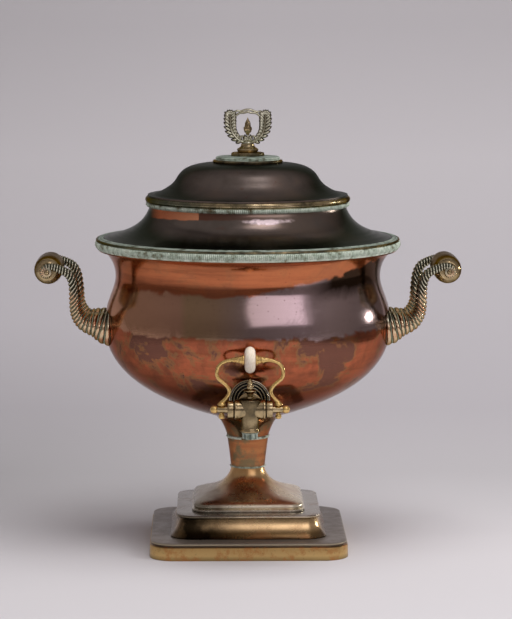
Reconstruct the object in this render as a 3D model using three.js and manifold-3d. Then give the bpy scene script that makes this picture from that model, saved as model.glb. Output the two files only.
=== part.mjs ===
import * as THREE from 'three';
import { mergeVertices } from 'three/addons/utils/BufferGeometryUtils.js';
import Module from 'manifold-3d';

// A copper and brass tea urn on a square plinth, with a quarter-turn tap, two reeded handles
// with barrel grips, a lift-off lid and an iron heater in a socket inside the bowl.
// Millimetres, +Z up, the tap at the front on -Y. Every part is built about the stem's axis,
// and the whole group is set so that the middle of its outer box is at the origin.

const wasm = await Module();
wasm.setup();

// Clearances and sheet thicknesses
const seatGap = 0.3;
const boreGap = 0.3;
const sheet = 1.6;

// Base: slab, step and cushion, each given by its half width in plan. The slab's opening lies
// a ledge inside the step's foot, and the pad reaches a little past the cushion.
const slab = { half: 97.5, taper: 1.1, height: 17, corner: 20, wall: 4.2, plate: 4, ledge: 17 };
const slabLine = { below: 3.7, depth: 1, beadHeight: 2.3, round: 0.8 };
const step = { topHalf: 71, waistIn: 2.5, footOut: 6, height: 22.5, corner: 14, wall: 3.5 };
const stepBead = { height: 2.8, round: 0.6 };
const cushion = { half: 53.8, height: 34.5, corner: 16, neckRadius: 16.5, wall: 3 };
const pad = { reach: 2.2, height: 3 };

// Stem: two cones and the band between them, which reaches past the lower cone's top
const lowerStem = { height: 29.5, topRadius: 20.6, floor: 3 };
const band = { height: 2.8, reach: 1.1, boreIn: 3.1 };
const upperStem = { height: 20.7, footIn: 0.8 };
const tie = { boltRadius: 4, headRadius: 8, headHeight: 3.4, washerRadius: 16, washerHeight: 2.4 };
const tieNut = { radius: 7.5, height: 6.5, threadEnd: 4 };

// Bowl: the belly's rise is measured from the floor, the neck's from the belly, and the
// lip's from the neck
const bowl = { floorRadius: 34, bellyRadius: 142.8, bellyRise: 92, neckRadius: 131.8, neckRise: 48 };
const lip = { radius: 144, rise: 26, flange: 4.5 };

// Shoulder and the brass border, both seated on the lip's flange
const shoulder = { ledge: 5.5, footRise: 9.2, collarRadius: 98, collarFoot: 38.4, height: 43.9 };
const border = { reach: 3.5, overhang: 0.4, skirt: 2, height: 9.4, round: 2.6 };

// Lid: the top's rise is measured from the waist
const lid = { flangeWidth: 5.3, waistRadius: 73, waistRise: 12.8, topRadius: 34, topRise: 18.3 };
const lidRim = { reach: 4, edge: 2.6, skirtDrop: 4.3, height: 5.8, shelf: 6.5, play: 0.5 };
const bezel = { play: 1.4, depth: 12.8, thick: 1.6 };

// Finial
const finialPlate = { overhang: 0.7, footHeight: 3.3, topIn: 3.1, height: 6.9, bossIn: 10.7 };
const socle = { footRadius: 16.4, footHeight: 3.6, ringRadius: 10.7, topRadius: 6.4, height: 12.1 };
const wreath = { thickness: 5, footHalf: 6.9, spread: 23.6, height: 36, ribbonDrop: 3.2 };
const wreathGap = { halfWidth: 8.5, bottom: 8.4, cover: 4.4 };
const flame = { urnRadius: 4.3, urnHeight: 8.5, headroom: 2 };
const stud = { radius: 1.6, grip: 2.4, nutRadius: 5, nutHeight: 5, tail: 3 };

// Handles: each arm's route runs out from the belly and up from the root, then round the
// grip's axis. The inset is how far it lies inside the arms' spread at the grip.
const handle = { rootDrop: 2.2, armSpread: 42, curlRadius: 7.2, curlHalf: 5 };
const grip = { out: 54.7, up: 57.6, radius: 14.2, endRadius: 8.6, pinRadius: 2.2, pinTail: 1.2 };
const rivet = { spread: 26, radius: 2.5, headRadius: 5, headHeight: 2.4, depth: 9 };
const armRoute = [
  { out: -12, up: -0.4, thick: 39, width: 46, inset: 21 },
  { out: -1.4, up: 0.2, thick: 34, width: 46, inset: 21 },
  { out: 7.5, up: 2.5, thick: 25.5, width: 45, inset: 21 },
  { out: 18.3, up: 5.5, thick: 18.5, width: 44, inset: 20.5 },
  { out: 24.7, up: 13, thick: 15.5, width: 36, inset: 16.5 },
  { out: 27.2, up: 21.9, thick: 13, width: 24, inset: 10.5 },
  { out: 27.8, up: 34.7, thick: 11.8, width: 16.5, inset: 5.5 },
  { out: 29.1, up: 46.6, thick: 10.6, width: 13, inset: 2.5 },
];
const curlRoute = [
  { out: -22.1, up: -3.1, thick: 11, width: 12, inset: 1 },
  { out: -16, up: 1.8, thick: 10.8, width: 11, inset: 0 },
  { out: -6.9, up: 5.6, thick: 9.8, width: 10.4, inset: 0 },
  { out: -1.5, up: 5.8, thick: 9, width: 10, inset: 0 },
  { out: 3.7, up: 2, thick: 7.6, width: 9.6, inset: 0 },
];
const rootWeb = { stations: 4, width: 56, thin: 0.86 };

// Tap: heights are measured from the plug's axis, and its reach from the belly's widest line.
// The barrel's radii are its walls round the plug.
const tap = { rise: 28.9, reach: 15.2 };
const barrel = { half: 21.3, wall: 2.5, flangeWall: 1.9, ringWall: 3.1 };
const spout = { topRadius: 11, top: 9.9, neckRadius: 8.2, lipRadius: 9.6, lip: 21.4, bore: 4.8 };
const nozzle = { radius: 7.9, tipRadius: 7.4, height: 6.3 };
const shank = { radius: 8.2, lift: 1.6, bore: 4.5, inside: 74, collarRadius: 12, collar: 4.7 };
const boss = { radius: 19.6, lift: 5.2, face: 24, plate: 3.6, coneIn: 2.6, tailIn: 4.6 };
const plug = { radius: 6.7, taper: 0.8, port: 4, studRadius: 3.2, stud: 9.5 };
const plugNut = { radius: 3.7, length: 6.9, threadRadius: 2, thread: 3.2 };

// Key: the arms' feet stand on the plug's studs. Each arm's route is given outward from the
// barrel's end, and upward as a share of the way from its foot to the roundel's axis.
const keyArm = { thick: 3.8, footRadius: 4.2, footHeight: 4.2, start: 2, coneRadius: 3.4, cone: 8 };
const keyFoot = { out: 5.5, headRadius: 2.9, headHeight: 4.4, neck: 1, screwRadius: 1.2, bite: 2.2 };
const keyRoute = [
  [6.1, 0], [3.1, 0.074], [0, 0.165], [-2.5, 0.249], [-1.8, 0.337], [0.8, 0.438], [4.9, 0.514],
  [8.9, 0.6], [9.9, 0.725], [8.6, 0.852], [4.9, 0.938], [-0.7, 0.983],
];
const roundel = { radius: 12.5, thick: 10.2, up: 47.3, pinRadius: 1, pinBite: 2.6, play: 0.3 };
const ferrule = { radius: 5, tipRadius: 3.9, flange: 2, length: 4.7 };
const tapFinial = { tenonRadius: 1.4, tenon: 2.4, height: 19.4, cupRadius: 6.4, bulbRadius: 3 };

// Heater and its socket, which stands on the bowl's floor
const socket = { inset: 3.5, height: 160.5 };
const iron = { play: 3.9, height: 102, eyeRadius: 9, eyeThick: 2.7 };
const cover = { play: 0.7, skirt: 6, knobRadius: 6.5, knobHeight: 12, stalkRadius: 3.6 };

// Levels on the stem's axis, each from the part below it
const stepZ = slab.height;
const padZ = stepZ + step.height;
const cushionZ = padZ + pad.height;
const stemZ = cushionZ + cushion.height;
const bandZ = stemZ + lowerStem.height;
const upperStemZ = bandZ + band.height;
const bowlZ = upperStemZ + upperStem.height;
const bellyZ = bowlZ + bowl.bellyRise;
const neckZ = bellyZ + bowl.neckRise;
const lipZ = neckZ + lip.rise;
const flangeZ = lipZ + sheet;
const shelfZ = flangeZ + sheet;
const collarZ = shelfZ + shoulder.height;
const lidRimZ = collarZ + seatGap;
const lidZ = lidRimZ + lidRim.height;
const lidTopZ = lidZ + sheet + lid.waistRise + lid.topRise;
const socleZ = lidTopZ + finialPlate.height;
const wreathZ = socleZ + socle.height;
const rootZ = bellyZ - handle.rootDrop;
const tapZ = bowlZ + tap.rise;
const tapY = -(bowl.bellyRadius + tap.reach);
const socketZ = bowlZ + sheet;
const ironZ = socketZ + sheet + seatGap;
const coverZ = socketZ + socket.height + seatGap;

// Widths that follow from the sizes above
const stepFoot = step.topHalf + step.footOut;
const stepWaist = step.topHalf - step.waistIn;
const bandRadius = lowerStem.topRadius + band.reach;
const flangeRadius = lip.radius + lip.flange;
const shoulderRadius = flangeRadius - shoulder.ledge;
const borderRadius = flangeRadius + border.reach;
const lidRimRadius = shoulder.collarRadius + lidRim.reach;
const lidFlangeRadius = lidRimRadius - lidRim.edge;
const wreathGapTop = wreath.height - wreath.ribbonDrop - wreathGap.cover;
const gripX = -(bowl.bellyRadius + grip.out);
const gripZ = rootZ + grip.up;
const studEnd = barrel.half + plug.stud;
const keyFootX = barrel.half + keyFoot.out;
const coneStart = roundel.thick / 2 + 2 * roundel.play + ferrule.length;
const socketRadius = bowl.floorRadius - socket.inset;

// Facets round the large, middle and small turned parts, round a pin, and round one corner of
// the square parts; and how far a cutting tool runs past the face that it cuts
const largeTurn = 32;
const stemTurn = 24;
const smallTurn = 16;
const pinTurn = 10;
const cornerTurn = 5;
const past = 1;

// Looks
const copperLook = { color: 0x8c4a2b, roughness: 0.22, metalness: 1 };
const darkCopperLook = { color: 0x3a2a28, roughness: 0.28, metalness: 0.9 };
const brassLook = { color: 0xa07a42, roughness: 0.34, metalness: 1 };
const patinaLook = { color: 0x7b7a58, roughness: 0.55, metalness: 0.7 };
const ivoryLook = { color: 0xe6dac6, roughness: 0.45, metalness: 0 };
const ironLook = { color: 0x3b3836, roughness: 0.7, metalness: 0.9 };
const steelLook = { color: 0x85827c, roughness: 0.4, metalness: 1 };

const at = (radius, height) => new THREE.Vector2(radius, height);

// Points of a smooth bend between two points, pulled along the given directions at its ends
function bend(start, startPull, end, endPull, steps) {
  const first = start.clone().add(startPull);
  const last = end.clone().sub(endPull);
  return new THREE.CubicBezierCurve(start, first, last, end).getPoints(steps);
}

// The same outline moved to its left by a thickness, mitred at the corners
function offsetLeft(outline, distance) {
  return outline.map((point, i) => {
    const before = outline[Math.max(i - 1, 0)];
    const after = outline[Math.min(i + 1, outline.length - 1)];
    const arriving = point.clone().sub(i > 0 ? before : point);
    const leaving = after.clone().sub(point);
    if (i === 0) arriving.copy(leaving);
    if (i === outline.length - 1) leaving.copy(arriving);
    const a = new THREE.Vector2(-arriving.y, arriving.x).normalize();
    const b = new THREE.Vector2(-leaving.y, leaving.x).normalize();
    const side = a.clone().add(b).normalize();
    return point.clone().addScaledVector(side, distance / side.dot(b));
  });
}

// A closed sheet section: the outline out, its offset back
function sheetSection(outline, thickness) {
  return [...outline, ...offsetLeft(outline, thickness).reverse()];
}

// A part turned about +Z: the section runs anticlockwise, and a section that doesn't start
// and end on the axis is closed on itself
function turned(section, facets) {
  const points = section.map((point) => at(Math.max(point.x, 0), point.y));
  const onAxis = points[0].x === 0 && points[points.length - 1].x === 0;
  if (!onAxis) points.push(points[0].clone());
  return new THREE.LatheGeometry(points, facets).rotateX(Math.PI / 2);
}

const turnedOnX = (section, facets) => turned(section, facets).rotateY(Math.PI / 2);
const turnedOnY = (section, facets) => turned(section, facets).rotateX(-Math.PI / 2);

// A round rod between two points
function rod(start, end, radius, facets) {
  const run = end.clone().sub(start);
  const turn = new THREE.Quaternion().setFromUnitVectors(
    new THREE.Vector3(0, 1, 0), run.clone().normalize());
  const middle = start.clone().add(end).multiplyScalar(0.5);
  return new THREE.CylinderGeometry(radius, radius, run.length(), facets)
    .applyQuaternion(turn).translate(middle.x, middle.y, middle.z);
}

const spot = (x, y, z) => new THREE.Vector3(x, y, z);

// A skin over rings of equal point counts: closed on itself, or capped at both ends
function skin(rings, closed) {
  const count = rings[0].length;
  const corners = rings.flat().flatMap((point) => [point.x, point.y, point.z]);
  const faces = [];
  const last = closed ? rings.length : rings.length - 1;
  for (let i = 0; i < last; i += 1) {
    const here = i * count;
    const next = ((i + 1) % rings.length) * count;
    for (let j = 0; j < count; j += 1) {
      const k = (j + 1) % count;
      faces.push(here + j, here + k, next + k, here + j, next + k, next + j);
    }
  }
  if (!closed) {
    const top = (rings.length - 1) * count;
    for (let j = 1; j < count - 1; j += 1) {
      faces.push(0, j + 1, j, top, top + j, top + j + 1);
    }
  }
  const geometry = new THREE.BufferGeometry();
  geometry.setAttribute('position', new THREE.Float32BufferAttribute(corners, 3));
  geometry.setIndex(faces);
  return geometry;
}

// A ring of points round a square with rounded corners
function squareRing(half, corner, height) {
  const reach = half - corner;
  const ring = [];
  for (let quarter = 0; quarter < 4; quarter += 1) {
    const middle = (quarter + 0.5) * Math.PI / 2;
    for (let i = 0; i < cornerTurn; i += 1) {
      const angle = (quarter + (i + 0.5) / cornerTurn) * Math.PI / 2;
      const x = Math.sign(Math.cos(middle)) * reach + corner * Math.cos(angle);
      const y = Math.sign(Math.sin(middle)) * reach + corner * Math.sin(angle);
      ring.push(spot(x, y, height));
    }
  }
  const widest = reach + corner * Math.cos(Math.PI / 4 / cornerTurn);
  return ring.map((point) => spot(point.x * half / widest, point.y * half / widest, height));
}

// A closed part over a section of half widths and heights, with the corner that each half
// width gets in plan
function squared(section, cornerOf) {
  return skin(section.map((point) => squareRing(point.x, cornerOf(point.x), point.y)), true);
}

// Solids for joining and cutting
function solidOf(geometry) {
  const bare = geometry.clone();
  bare.deleteAttribute('normal');
  bare.deleteAttribute('uv');
  const merged = mergeVertices(bare, 1e-4);
  const index = merged.index.array;
  const triVerts = [];
  for (let i = 0; i < index.length; i += 3) {
    const [a, b, c] = [index[i], index[i + 1], index[i + 2]];
    if (a !== b && b !== c && c !== a) triVerts.push(a, b, c);
  }
  return new wasm.Manifold(new wasm.Mesh({
    numProp: 3,
    vertProperties: Float32Array.from(merged.attributes.position.array),
    triVerts: Uint32Array.from(triVerts),
  }));
}

function geometryOf(solid) {
  const mesh = solid.getMesh();
  const geometry = new THREE.BufferGeometry();
  geometry.setAttribute('position', new THREE.BufferAttribute(mesh.vertProperties, 3));
  geometry.setIndex(new THREE.BufferAttribute(mesh.triVerts, 1));
  return geometry;
}

function joined(...geometries) {
  return geometryOf(geometries.map(solidOf).reduce((whole, next) => whole.add(next)));
}

function cut(geometry, ...tools) {
  return geometryOf(tools.map(solidOf).reduce((left, tool) => left.subtract(tool), solidOf(geometry)));
}

function piece(name, geometry, look) {
  const mesh = new THREE.Mesh(geometry, new THREE.MeshStandardMaterial(look));
  mesh.name = name;
  return mesh;
}

// Base

function slabGeometry() {
  const topHalf = slab.half - slab.taper;
  const lineZ = slab.height - slabLine.below;
  const inset = topHalf - slabLine.depth;
  const outside = [
    at(slab.half, 0), at(topHalf, lineZ), at(inset, lineZ + slabLine.depth * 0.6),
    at(inset, slab.height - slabLine.beadHeight - slabLine.depth * 0.6),
    at(topHalf - 0.5, slab.height - slabLine.beadHeight),
    at(topHalf - 0.5, slab.height - slabLine.round), at(inset - slabLine.round, slab.height),
  ];
  const opening = stepFoot - slab.ledge;
  const inside = [
    at(opening, slab.height), at(opening, slab.height - slab.plate),
    at(topHalf - slab.wall - 1, slab.height - slab.plate), at(slab.half - slab.wall, 0),
  ];
  const cornerOf = (half) => Math.max(slab.corner - (slab.half - half) * 0.4, slab.wall);
  return squared([...outside, ...inside], cornerOf);
}

function stepGeometry() {
  const top = step.height;
  const beadZ = top - stepBead.height;
  const hollow = bend(at(stepFoot, 0), at(-5, 1.5), at(stepWaist, beadZ - 1), at(0, 9), 4);
  const outside = [
    ...hollow, at(step.topHalf, beadZ), at(step.topHalf, top - stepBead.round),
    at(step.topHalf - stepBead.round, top),
  ];
  const hole = tie.boltRadius + boreGap;
  const inside = [
    at(hole, top), at(hole, top - step.wall), at(stepWaist - step.wall, top - step.wall),
    at(stepWaist - step.wall, top * 0.45), at(stepFoot - step.wall, 0),
  ];
  const cornerOf = (half) => Math.min(half, Math.max(step.corner - (step.topHalf - half) * 0.5, 8));
  return squared([...outside, ...inside], cornerOf);
}

function cushionOutline() {
  const padHalf = cushion.half + pad.reach;
  const shoulderPoint = at(cushion.half - 6.8, pad.height + 8.8);
  const top = at(cushion.neckRadius, pad.height + cushion.height);
  return [
    at(padHalf, 0), at(padHalf, pad.height - 0.9),
    ...bend(at(cushion.half, pad.height), at(2.4, 4), shoulderPoint, at(-4.5, 1.7), 3),
    ...bend(shoulderPoint, at(-14, 6.2), top, at(-3, 15.5), 4).slice(1),
  ];
}

function cushionGeometry() {
  const outside = cushionOutline();
  const inside = offsetLeft(outside, cushion.wall);
  const top = outside[outside.length - 1];
  const hole = tie.boltRadius + boreGap;
  inside[0].y = 0;
  inside[inside.length - 1].y = top.y - cushion.wall;
  const section = [
    ...outside, at(hole, top.y), at(hole, top.y - cushion.wall), ...inside.reverse(),
  ];
  const cornerOf = (half) => {
    if (half <= cushion.neckRadius) return half;
    const share = Math.min((half - cushion.neckRadius) / (cushion.half - cushion.neckRadius), 1);
    return half * (1 - share) + cushion.corner * share;
  };
  return squared(section, cornerOf);
}

// Stem

function lowerStemGeometry() {
  const outside = [
    at(cushion.neckRadius, 0),
    ...bend(at(cushion.neckRadius + 0.6, 1.6), at(0.8, 9), at(lowerStem.topRadius,
      lowerStem.height), at(1.4, 9), 2),
  ];
  const inside = offsetLeft(outside, sheet).reverse();
  inside[0].y = lowerStem.height;
  inside[inside.length - 1].y = lowerStem.floor;
  inside.splice(inside.length - 2, 1);
  const hole = tie.boltRadius + boreGap;
  return turned([...outside, ...inside, at(hole, lowerStem.floor), at(hole, 0)], stemTurn);
}

function bandGeometry() {
  const edge = bandRadius - upperStem.footIn;
  const bore = lowerStem.topRadius - band.boreIn;
  return turned([
    at(bore, 0), at(edge, 0), at(bandRadius, band.height * 0.3),
    at(bandRadius, band.height * 0.7), at(edge, band.height), at(bore, band.height),
  ], stemTurn);
}

function upperStemGeometry() {
  const foot = at(bandRadius - upperStem.footIn, 0);
  const top = at(bowl.floorRadius, upperStem.height);
  const outside = bend(foot, at(3.2, 9.6), top, at(7, 4.1), 4);
  const inside = offsetLeft(outside, sheet).reverse();
  inside[0].y = upperStem.height;
  inside[inside.length - 1].y = 0;
  return turned([...outside, ...inside], stemTurn);
}

function tieBoltGeometry() {
  const headZ = stemZ + lowerStem.floor;
  const endZ = padZ - step.wall - tie.washerHeight - tieNut.height - tieNut.threadEnd;
  return turned([
    at(0, endZ), at(tie.boltRadius - 0.6, endZ), at(tie.boltRadius, endZ + 0.8),
    at(tie.boltRadius, headZ + seatGap), at(tie.headRadius, headZ + seatGap),
    at(tie.headRadius, headZ + seatGap + tie.headHeight), at(0, headZ + seatGap + tie.headHeight),
  ], pinTurn);
}

function ringGeometry(bore, radius, height, facets) {
  return turned([at(bore, 0), at(radius, 0), at(radius, height), at(bore, height)], facets);
}

function nutGeometry(bore, radius, height) {
  const block = rod(spot(0, 0, 0), spot(0, 0, height), radius, 6);
  return cut(block, rod(spot(0, 0, -past), spot(0, 0, height + past), bore, pinTurn));
}

// Bowl, shoulder and border

function bowlCurves() {
  const floorEdge = at(bowl.floorRadius, bowlZ);
  const belly = at(bowl.bellyRadius, bellyZ);
  const neck = at(bowl.neckRadius, neckZ);
  const rim = at(lip.radius, lipZ);
  return [
    ...bend(floorEdge, at(55.9, 16.9), belly, at(0, 50.5), 7),
    ...bend(belly, at(0, 21.9), neck, at(0, 13.6), 3).slice(1),
    ...bend(neck, at(0, 8), rim, at(9.5, 8), 3).slice(1),
  ];
}

function bowlOutline() {
  return [at(0, bowlZ), ...bowlCurves(), at(flangeRadius, lipZ)];
}

// The bowl as a full solid, a gap larger all round, that parts fixed to its wall are cut by
function bowlFill(gap) {
  const grown = offsetLeft(bowlOutline(), -gap);
  const top = grown[grown.length - 1];
  return turned([at(0, grown[0].y), ...grown.slice(1), at(0, top.y)], largeTurn);
}

function bowlRadiusAt(height) {
  const outline = bowlCurves();
  const next = outline.findIndex((point) => point.y >= height);
  const [low, high] = [outline[next - 1], outline[next]];
  return THREE.MathUtils.mapLinear(height, low.y, high.y, low.x, high.x);
}

// A hole tool on the radial line of one rivet, on the left side of the bowl
const rivetAngle = Math.asin(rivet.spread / bowl.bellyRadius);

function rivetLine(inner, outer, radius, row) {
  const angle = Math.PI + row * rivetAngle;
  const along = (distance) => spot(Math.cos(angle) * distance, Math.sin(angle) * distance, rootZ);
  return rod(along(inner), along(outer), radius, pinTurn);
}

function bowlGeometry() {
  const shell = turned(sheetSection(bowlOutline(), sheet), largeTurn);
  const inner = bowl.bellyRadius - rivet.depth;
  const outer = bowl.bellyRadius + rivet.depth;
  const tools = [rod(
    spot(0, tapY, tapZ + shank.lift), spot(0, -bowl.floorRadius, tapZ + shank.lift),
    shank.radius + boreGap, smallTurn)];
  for (const row of [-1, 1]) {
    const hole = rivetLine(inner, outer, rivet.radius + boreGap, row);
    tools.push(hole, hole.clone().rotateZ(Math.PI));
  }
  return cut(shell, ...tools);
}

function shoulderGeometry() {
  const foot = at(shoulderRadius, shelfZ + shoulder.footRise);
  const collar = at(shoulder.collarRadius, shelfZ + shoulder.collarFoot);
  const outside = [
    at(flangeRadius, shelfZ), at(shoulderRadius, shelfZ),
    ...bend(foot, at(-27.9, 5.8), collar, at(-5.1, 14.2), 5),
    at(shoulder.collarRadius, collarZ),
  ];
  return turned(sheetSection(outside, sheet), largeTurn);
}

function borderGeometry() {
  const top = shelfZ + border.height;
  const skirtRadius = flangeRadius + border.overhang;
  const boreRadius = shoulderRadius + seatGap;
  const crown = borderRadius - border.round;
  return turned([
    at(skirtRadius, shelfZ - border.skirt), at(crown, shelfZ - border.skirt),
    at(borderRadius - 0.5, shelfZ + 0.8), at(borderRadius, shelfZ + 3.4),
    at(borderRadius - 0.5, shelfZ + 5.8), at(borderRadius - 1.8, top - 1.9),
    at(crown - 0.6, top - 0.6), at(boreRadius, top), at(boreRadius, shelfZ),
    at(skirtRadius, shelfZ),
  ], largeTurn);
}

// Lid

function lidDomeGeometry() {
  const flangeZTop = lidZ + sheet;
  const flare = at(lidFlangeRadius - lid.flangeWidth, flangeZTop);
  const waist = at(lid.waistRadius, flangeZTop + lid.waistRise);
  const top = at(lid.topRadius, lidTopZ);
  const outside = [
    at(lidFlangeRadius, flangeZTop),
    ...bend(flare, at(-6, 2.3), waist, at(-6, 7), 3),
    ...bend(waist, at(-4.5, 5.3), top, at(-33.1, 0), 5).slice(1),
    at(stud.radius + boreGap, lidTopZ),
  ];
  return turned(sheetSection(outside, sheet), largeTurn);
}

function lidRimGeometry() {
  const skirtBore = shoulder.collarRadius + lidRim.play;
  const bottom = lidRimZ - lidRim.skirtDrop;
  const edge = lidRimRadius - 1.4;
  return turned([
    at(skirtBore, bottom), at(edge - 0.4, bottom), at(edge, lidRimZ - 0.8),
    at(lidRimRadius - 0.4, lidRimZ + 0.6), at(lidRimRadius, lidRimZ + 2.3),
    at(lidRimRadius - 0.5, lidRimZ + 4.2), at(lidFlangeRadius, lidZ),
    at(skirtBore - lidRim.shelf, lidZ), at(skirtBore - lidRim.shelf, lidRimZ),
    at(skirtBore, lidRimZ),
  ], largeTurn);
}

function bezelGeometry() {
  const radius = shoulder.collarRadius - sheet - bezel.play;
  return ringGeometry(radius - bezel.thick, radius, bezel.depth, largeTurn)
    .translate(0, 0, lidRimZ - bezel.depth);
}

// Finial

function finialPlateGeometry() {
  const hole = stud.radius + boreGap;
  const { footHeight, height } = finialPlate;
  const footRadius = lid.topRadius + finialPlate.overhang;
  const topRadius = footRadius - finialPlate.topIn;
  return turned([
    at(hole, 0), at(footRadius - 0.6, 0), at(footRadius, 1), at(footRadius, footHeight - 0.9),
    at(topRadius + 0.4, footHeight), at(topRadius, footHeight + 0.5),
    at(topRadius, height - 1.2), at(topRadius - 1.6, height - 0.4),
    at(footRadius - finialPlate.bossIn, height), at(hole, height),
  ], stemTurn);
}

function socleGeometry() {
  const hole = stud.radius + boreGap;
  const { footRadius, footHeight, ringRadius, topRadius, height } = socle;
  return turned([
    at(hole, 0), at(footRadius, 0), at(footRadius, footHeight - 0.8),
    at(footRadius - 1.2, footHeight), at(ringRadius - 1.4, footHeight + 0.5),
    at(ringRadius - 0.6, footHeight + 1.2), at(ringRadius, footHeight + 2.4),
    at(ringRadius - 0.6, footHeight + 3.6), at(ringRadius - 1.8, footHeight + 4.2),
    at(topRadius + 0.4, footHeight + 6), at(topRadius, height - 1), at(topRadius + 0.3, height),
    at(hole, height),
  ], smallTurn);
}

// The wreath's outline: two branches that leave the foot, spread and end in leaf tips, with a
// ribbon between the tips
function wreathGeometry() {
  const { footHalf, spread, height, ribbonDrop, thickness } = wreath;
  const ribbonZ = height - ribbonDrop;
  const side = new THREE.SplineCurve([
    at(footHalf, 0), at(footHalf + 4.6, height * 0.08), at(spread - 5.5, height * 0.29),
    at(spread - 1.2, height * 0.53), at(spread, height * 0.68), at(spread - 1.4, height * 0.85),
    at(spread - 4.8, height),
  ]).getPoints(12);
  const right = [
    ...side, at(spread - 8, height - 2), at(footHalf + 6, ribbonZ - 1.2),
    at(footHalf, ribbonZ - 0.8), at(0, ribbonZ),
  ];
  const left = right.slice(0, -1).reverse().map((point) => at(-point.x, point.y));
  const outline = new THREE.Shape([...right, ...left]);
  const middle = (wreathGap.bottom + wreathGapTop) / 2;
  const opening = new THREE.Path().absellipse(
    0, middle, wreathGap.halfWidth, wreathGapTop - middle, 0, Math.PI * 2, true, 0);
  outline.holes.push(opening);
  const plate = new THREE.ExtrudeGeometry(outline, {
    depth: thickness, bevelEnabled: false, curveSegments: 10,
  }).translate(0, 0, -thickness / 2).rotateX(Math.PI / 2).translate(0, 0, wreathZ);
  const hole = rod(
    spot(0, 0, wreathZ - past), spot(0, 0, wreathZ + stud.grip + boreGap),
    stud.radius + boreGap, pinTurn);
  return cut(plate, hole);
}

function flameGeometry() {
  const { urnRadius, urnHeight } = flame;
  const height = wreathGapTop - wreathGap.bottom - flame.headroom;
  return turned([
    at(0, 0), at(urnRadius * 0.42, 0), at(urnRadius * 0.5, urnHeight * 0.2),
    at(urnRadius * 0.9, urnHeight * 0.5), at(urnRadius, urnHeight * 0.8),
    at(urnRadius * 0.62, urnHeight), at(urnRadius * 0.66, urnHeight * 1.25),
    at(urnRadius * 0.42, height * 0.8), at(0, height),
  ], pinTurn).translate(0, 0, wreathZ + wreathGap.bottom + seatGap);
}

function finialStudGeometry() {
  const bottom = lidTopZ - sheet - seatGap - stud.nutHeight - stud.tail;
  return rod(spot(0, 0, bottom), spot(0, 0, wreathZ + stud.grip), stud.radius, pinTurn);
}

// Handles

// Curves through the middles and the half sizes of an arm on one side of the root
function armPaths(side) {
  const aside = (inset) => side * (handle.armSpread - inset);
  const centres = [
    ...armRoute.map((s) => spot(-bowl.bellyRadius - s.out, aside(s.inset), rootZ + s.up)),
    ...curlRoute.map((s) => spot(gripX - s.out, aside(s.inset), gripZ + s.up)),
  ];
  const sizes = [...armRoute, ...curlRoute].map((s) => spot(s.thick / 2, s.width / 2, 0));
  return [new THREE.CatmullRomCurve3(centres), new THREE.CatmullRomCurve3(sizes)];
}

// An oval ring square to the arm's route, its width along Y
function armRing(centre, ahead, halfThick, halfWidth) {
  const ring = [];
  const across = spot(ahead.z, 0, -ahead.x).normalize();
  const sides = 8;
  for (let i = 0; i < sides; i += 1) {
    const angle = i / sides * Math.PI * 2;
    ring.push(centre.clone()
      .addScaledVector(across, halfThick * Math.cos(angle))
      .add(spot(0, halfWidth * Math.sin(angle), 0)));
  }
  return ring;
}

function armGeometry(side) {
  const [route, size] = armPaths(side);
  const steps = 14;
  const rings = [];
  for (let i = 0; i <= steps; i += 1) {
    const share = i / steps;
    const half = size.getPoint(share);
    rings.push(armRing(route.getPoint(share), route.getTangent(share), half.x, half.y));
  }
  return skin(rings, false);
}

function rootWebGeometry() {
  const [route, size] = armPaths(0);
  const rings = [];
  for (let i = 0; i < rootWeb.stations; i += 1) {
    const share = i / (armRoute.length + curlRoute.length - 1);
    const half = size.getPoint(share);
    rings.push(armRing(
      route.getPoint(share), route.getTangent(share), half.x * rootWeb.thin, rootWeb.width / 2));
  }
  return skin(rings, false);
}

function bracketGeometry() {
  const { armSpread, curlHalf, curlRadius } = handle;
  const curl = (side) => rod(
    spot(gripX, side * (armSpread - curlHalf), gripZ),
    spot(gripX, side * (armSpread + curlHalf), gripZ), curlRadius, smallTurn);
  const casting = joined(armGeometry(-1), armGeometry(1), rootWebGeometry(), curl(-1), curl(1));
  const reach = armSpread + curlHalf + past;
  const pinHole = rod(
    spot(gripX, -reach, gripZ), spot(gripX, reach, gripZ), grip.pinRadius + boreGap, pinTurn);
  const inner = bowl.bellyRadius - rivet.depth;
  const blind = bowl.bellyRadius + rivet.depth + seatGap;
  const rivetHoles = [-1, 1].map((row) => rivetLine(
    inner, blind, rivet.radius + boreGap, row));
  return cut(casting, bowlFill(seatGap), pinHole, ...rivetHoles);
}

function gripGeometry() {
  const half = handle.armSpread - handle.curlHalf - seatGap;
  const bore = grip.pinRadius + boreGap;
  const swell = grip.radius - grip.endRadius;
  const steps = 8;
  const section = [at(bore, -half)];
  for (let i = 0; i <= steps; i += 1) {
    const along = -1 + 2 * i / steps;
    section.push(at(grip.endRadius + swell * Math.sqrt(1 - along ** 4), half * along));
  }
  section.push(at(bore, half));
  return turnedOnY(section, smallTurn).translate(gripX, 0, gripZ);
}

function gripPinGeometry() {
  const reach = handle.armSpread + handle.curlHalf + grip.pinTail;
  return rod(spot(gripX, -reach, gripZ), spot(gripX, reach, gripZ), grip.pinRadius, pinTurn);
}

function rivetGeometry(row) {
  const flat = Math.cos(Math.PI / largeTurn);
  const wall = (bowlRadiusAt(rootZ - rivet.headRadius) - sheet) * flat - seatGap;
  const head = rivetLine(wall - rivet.headHeight, wall, rivet.headRadius, row);
  const shankEnd = bowl.bellyRadius + rivet.depth;
  return joined(head, rivetLine(wall - rivet.headHeight / 2, shankEnd, rivet.radius, row));
}

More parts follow.
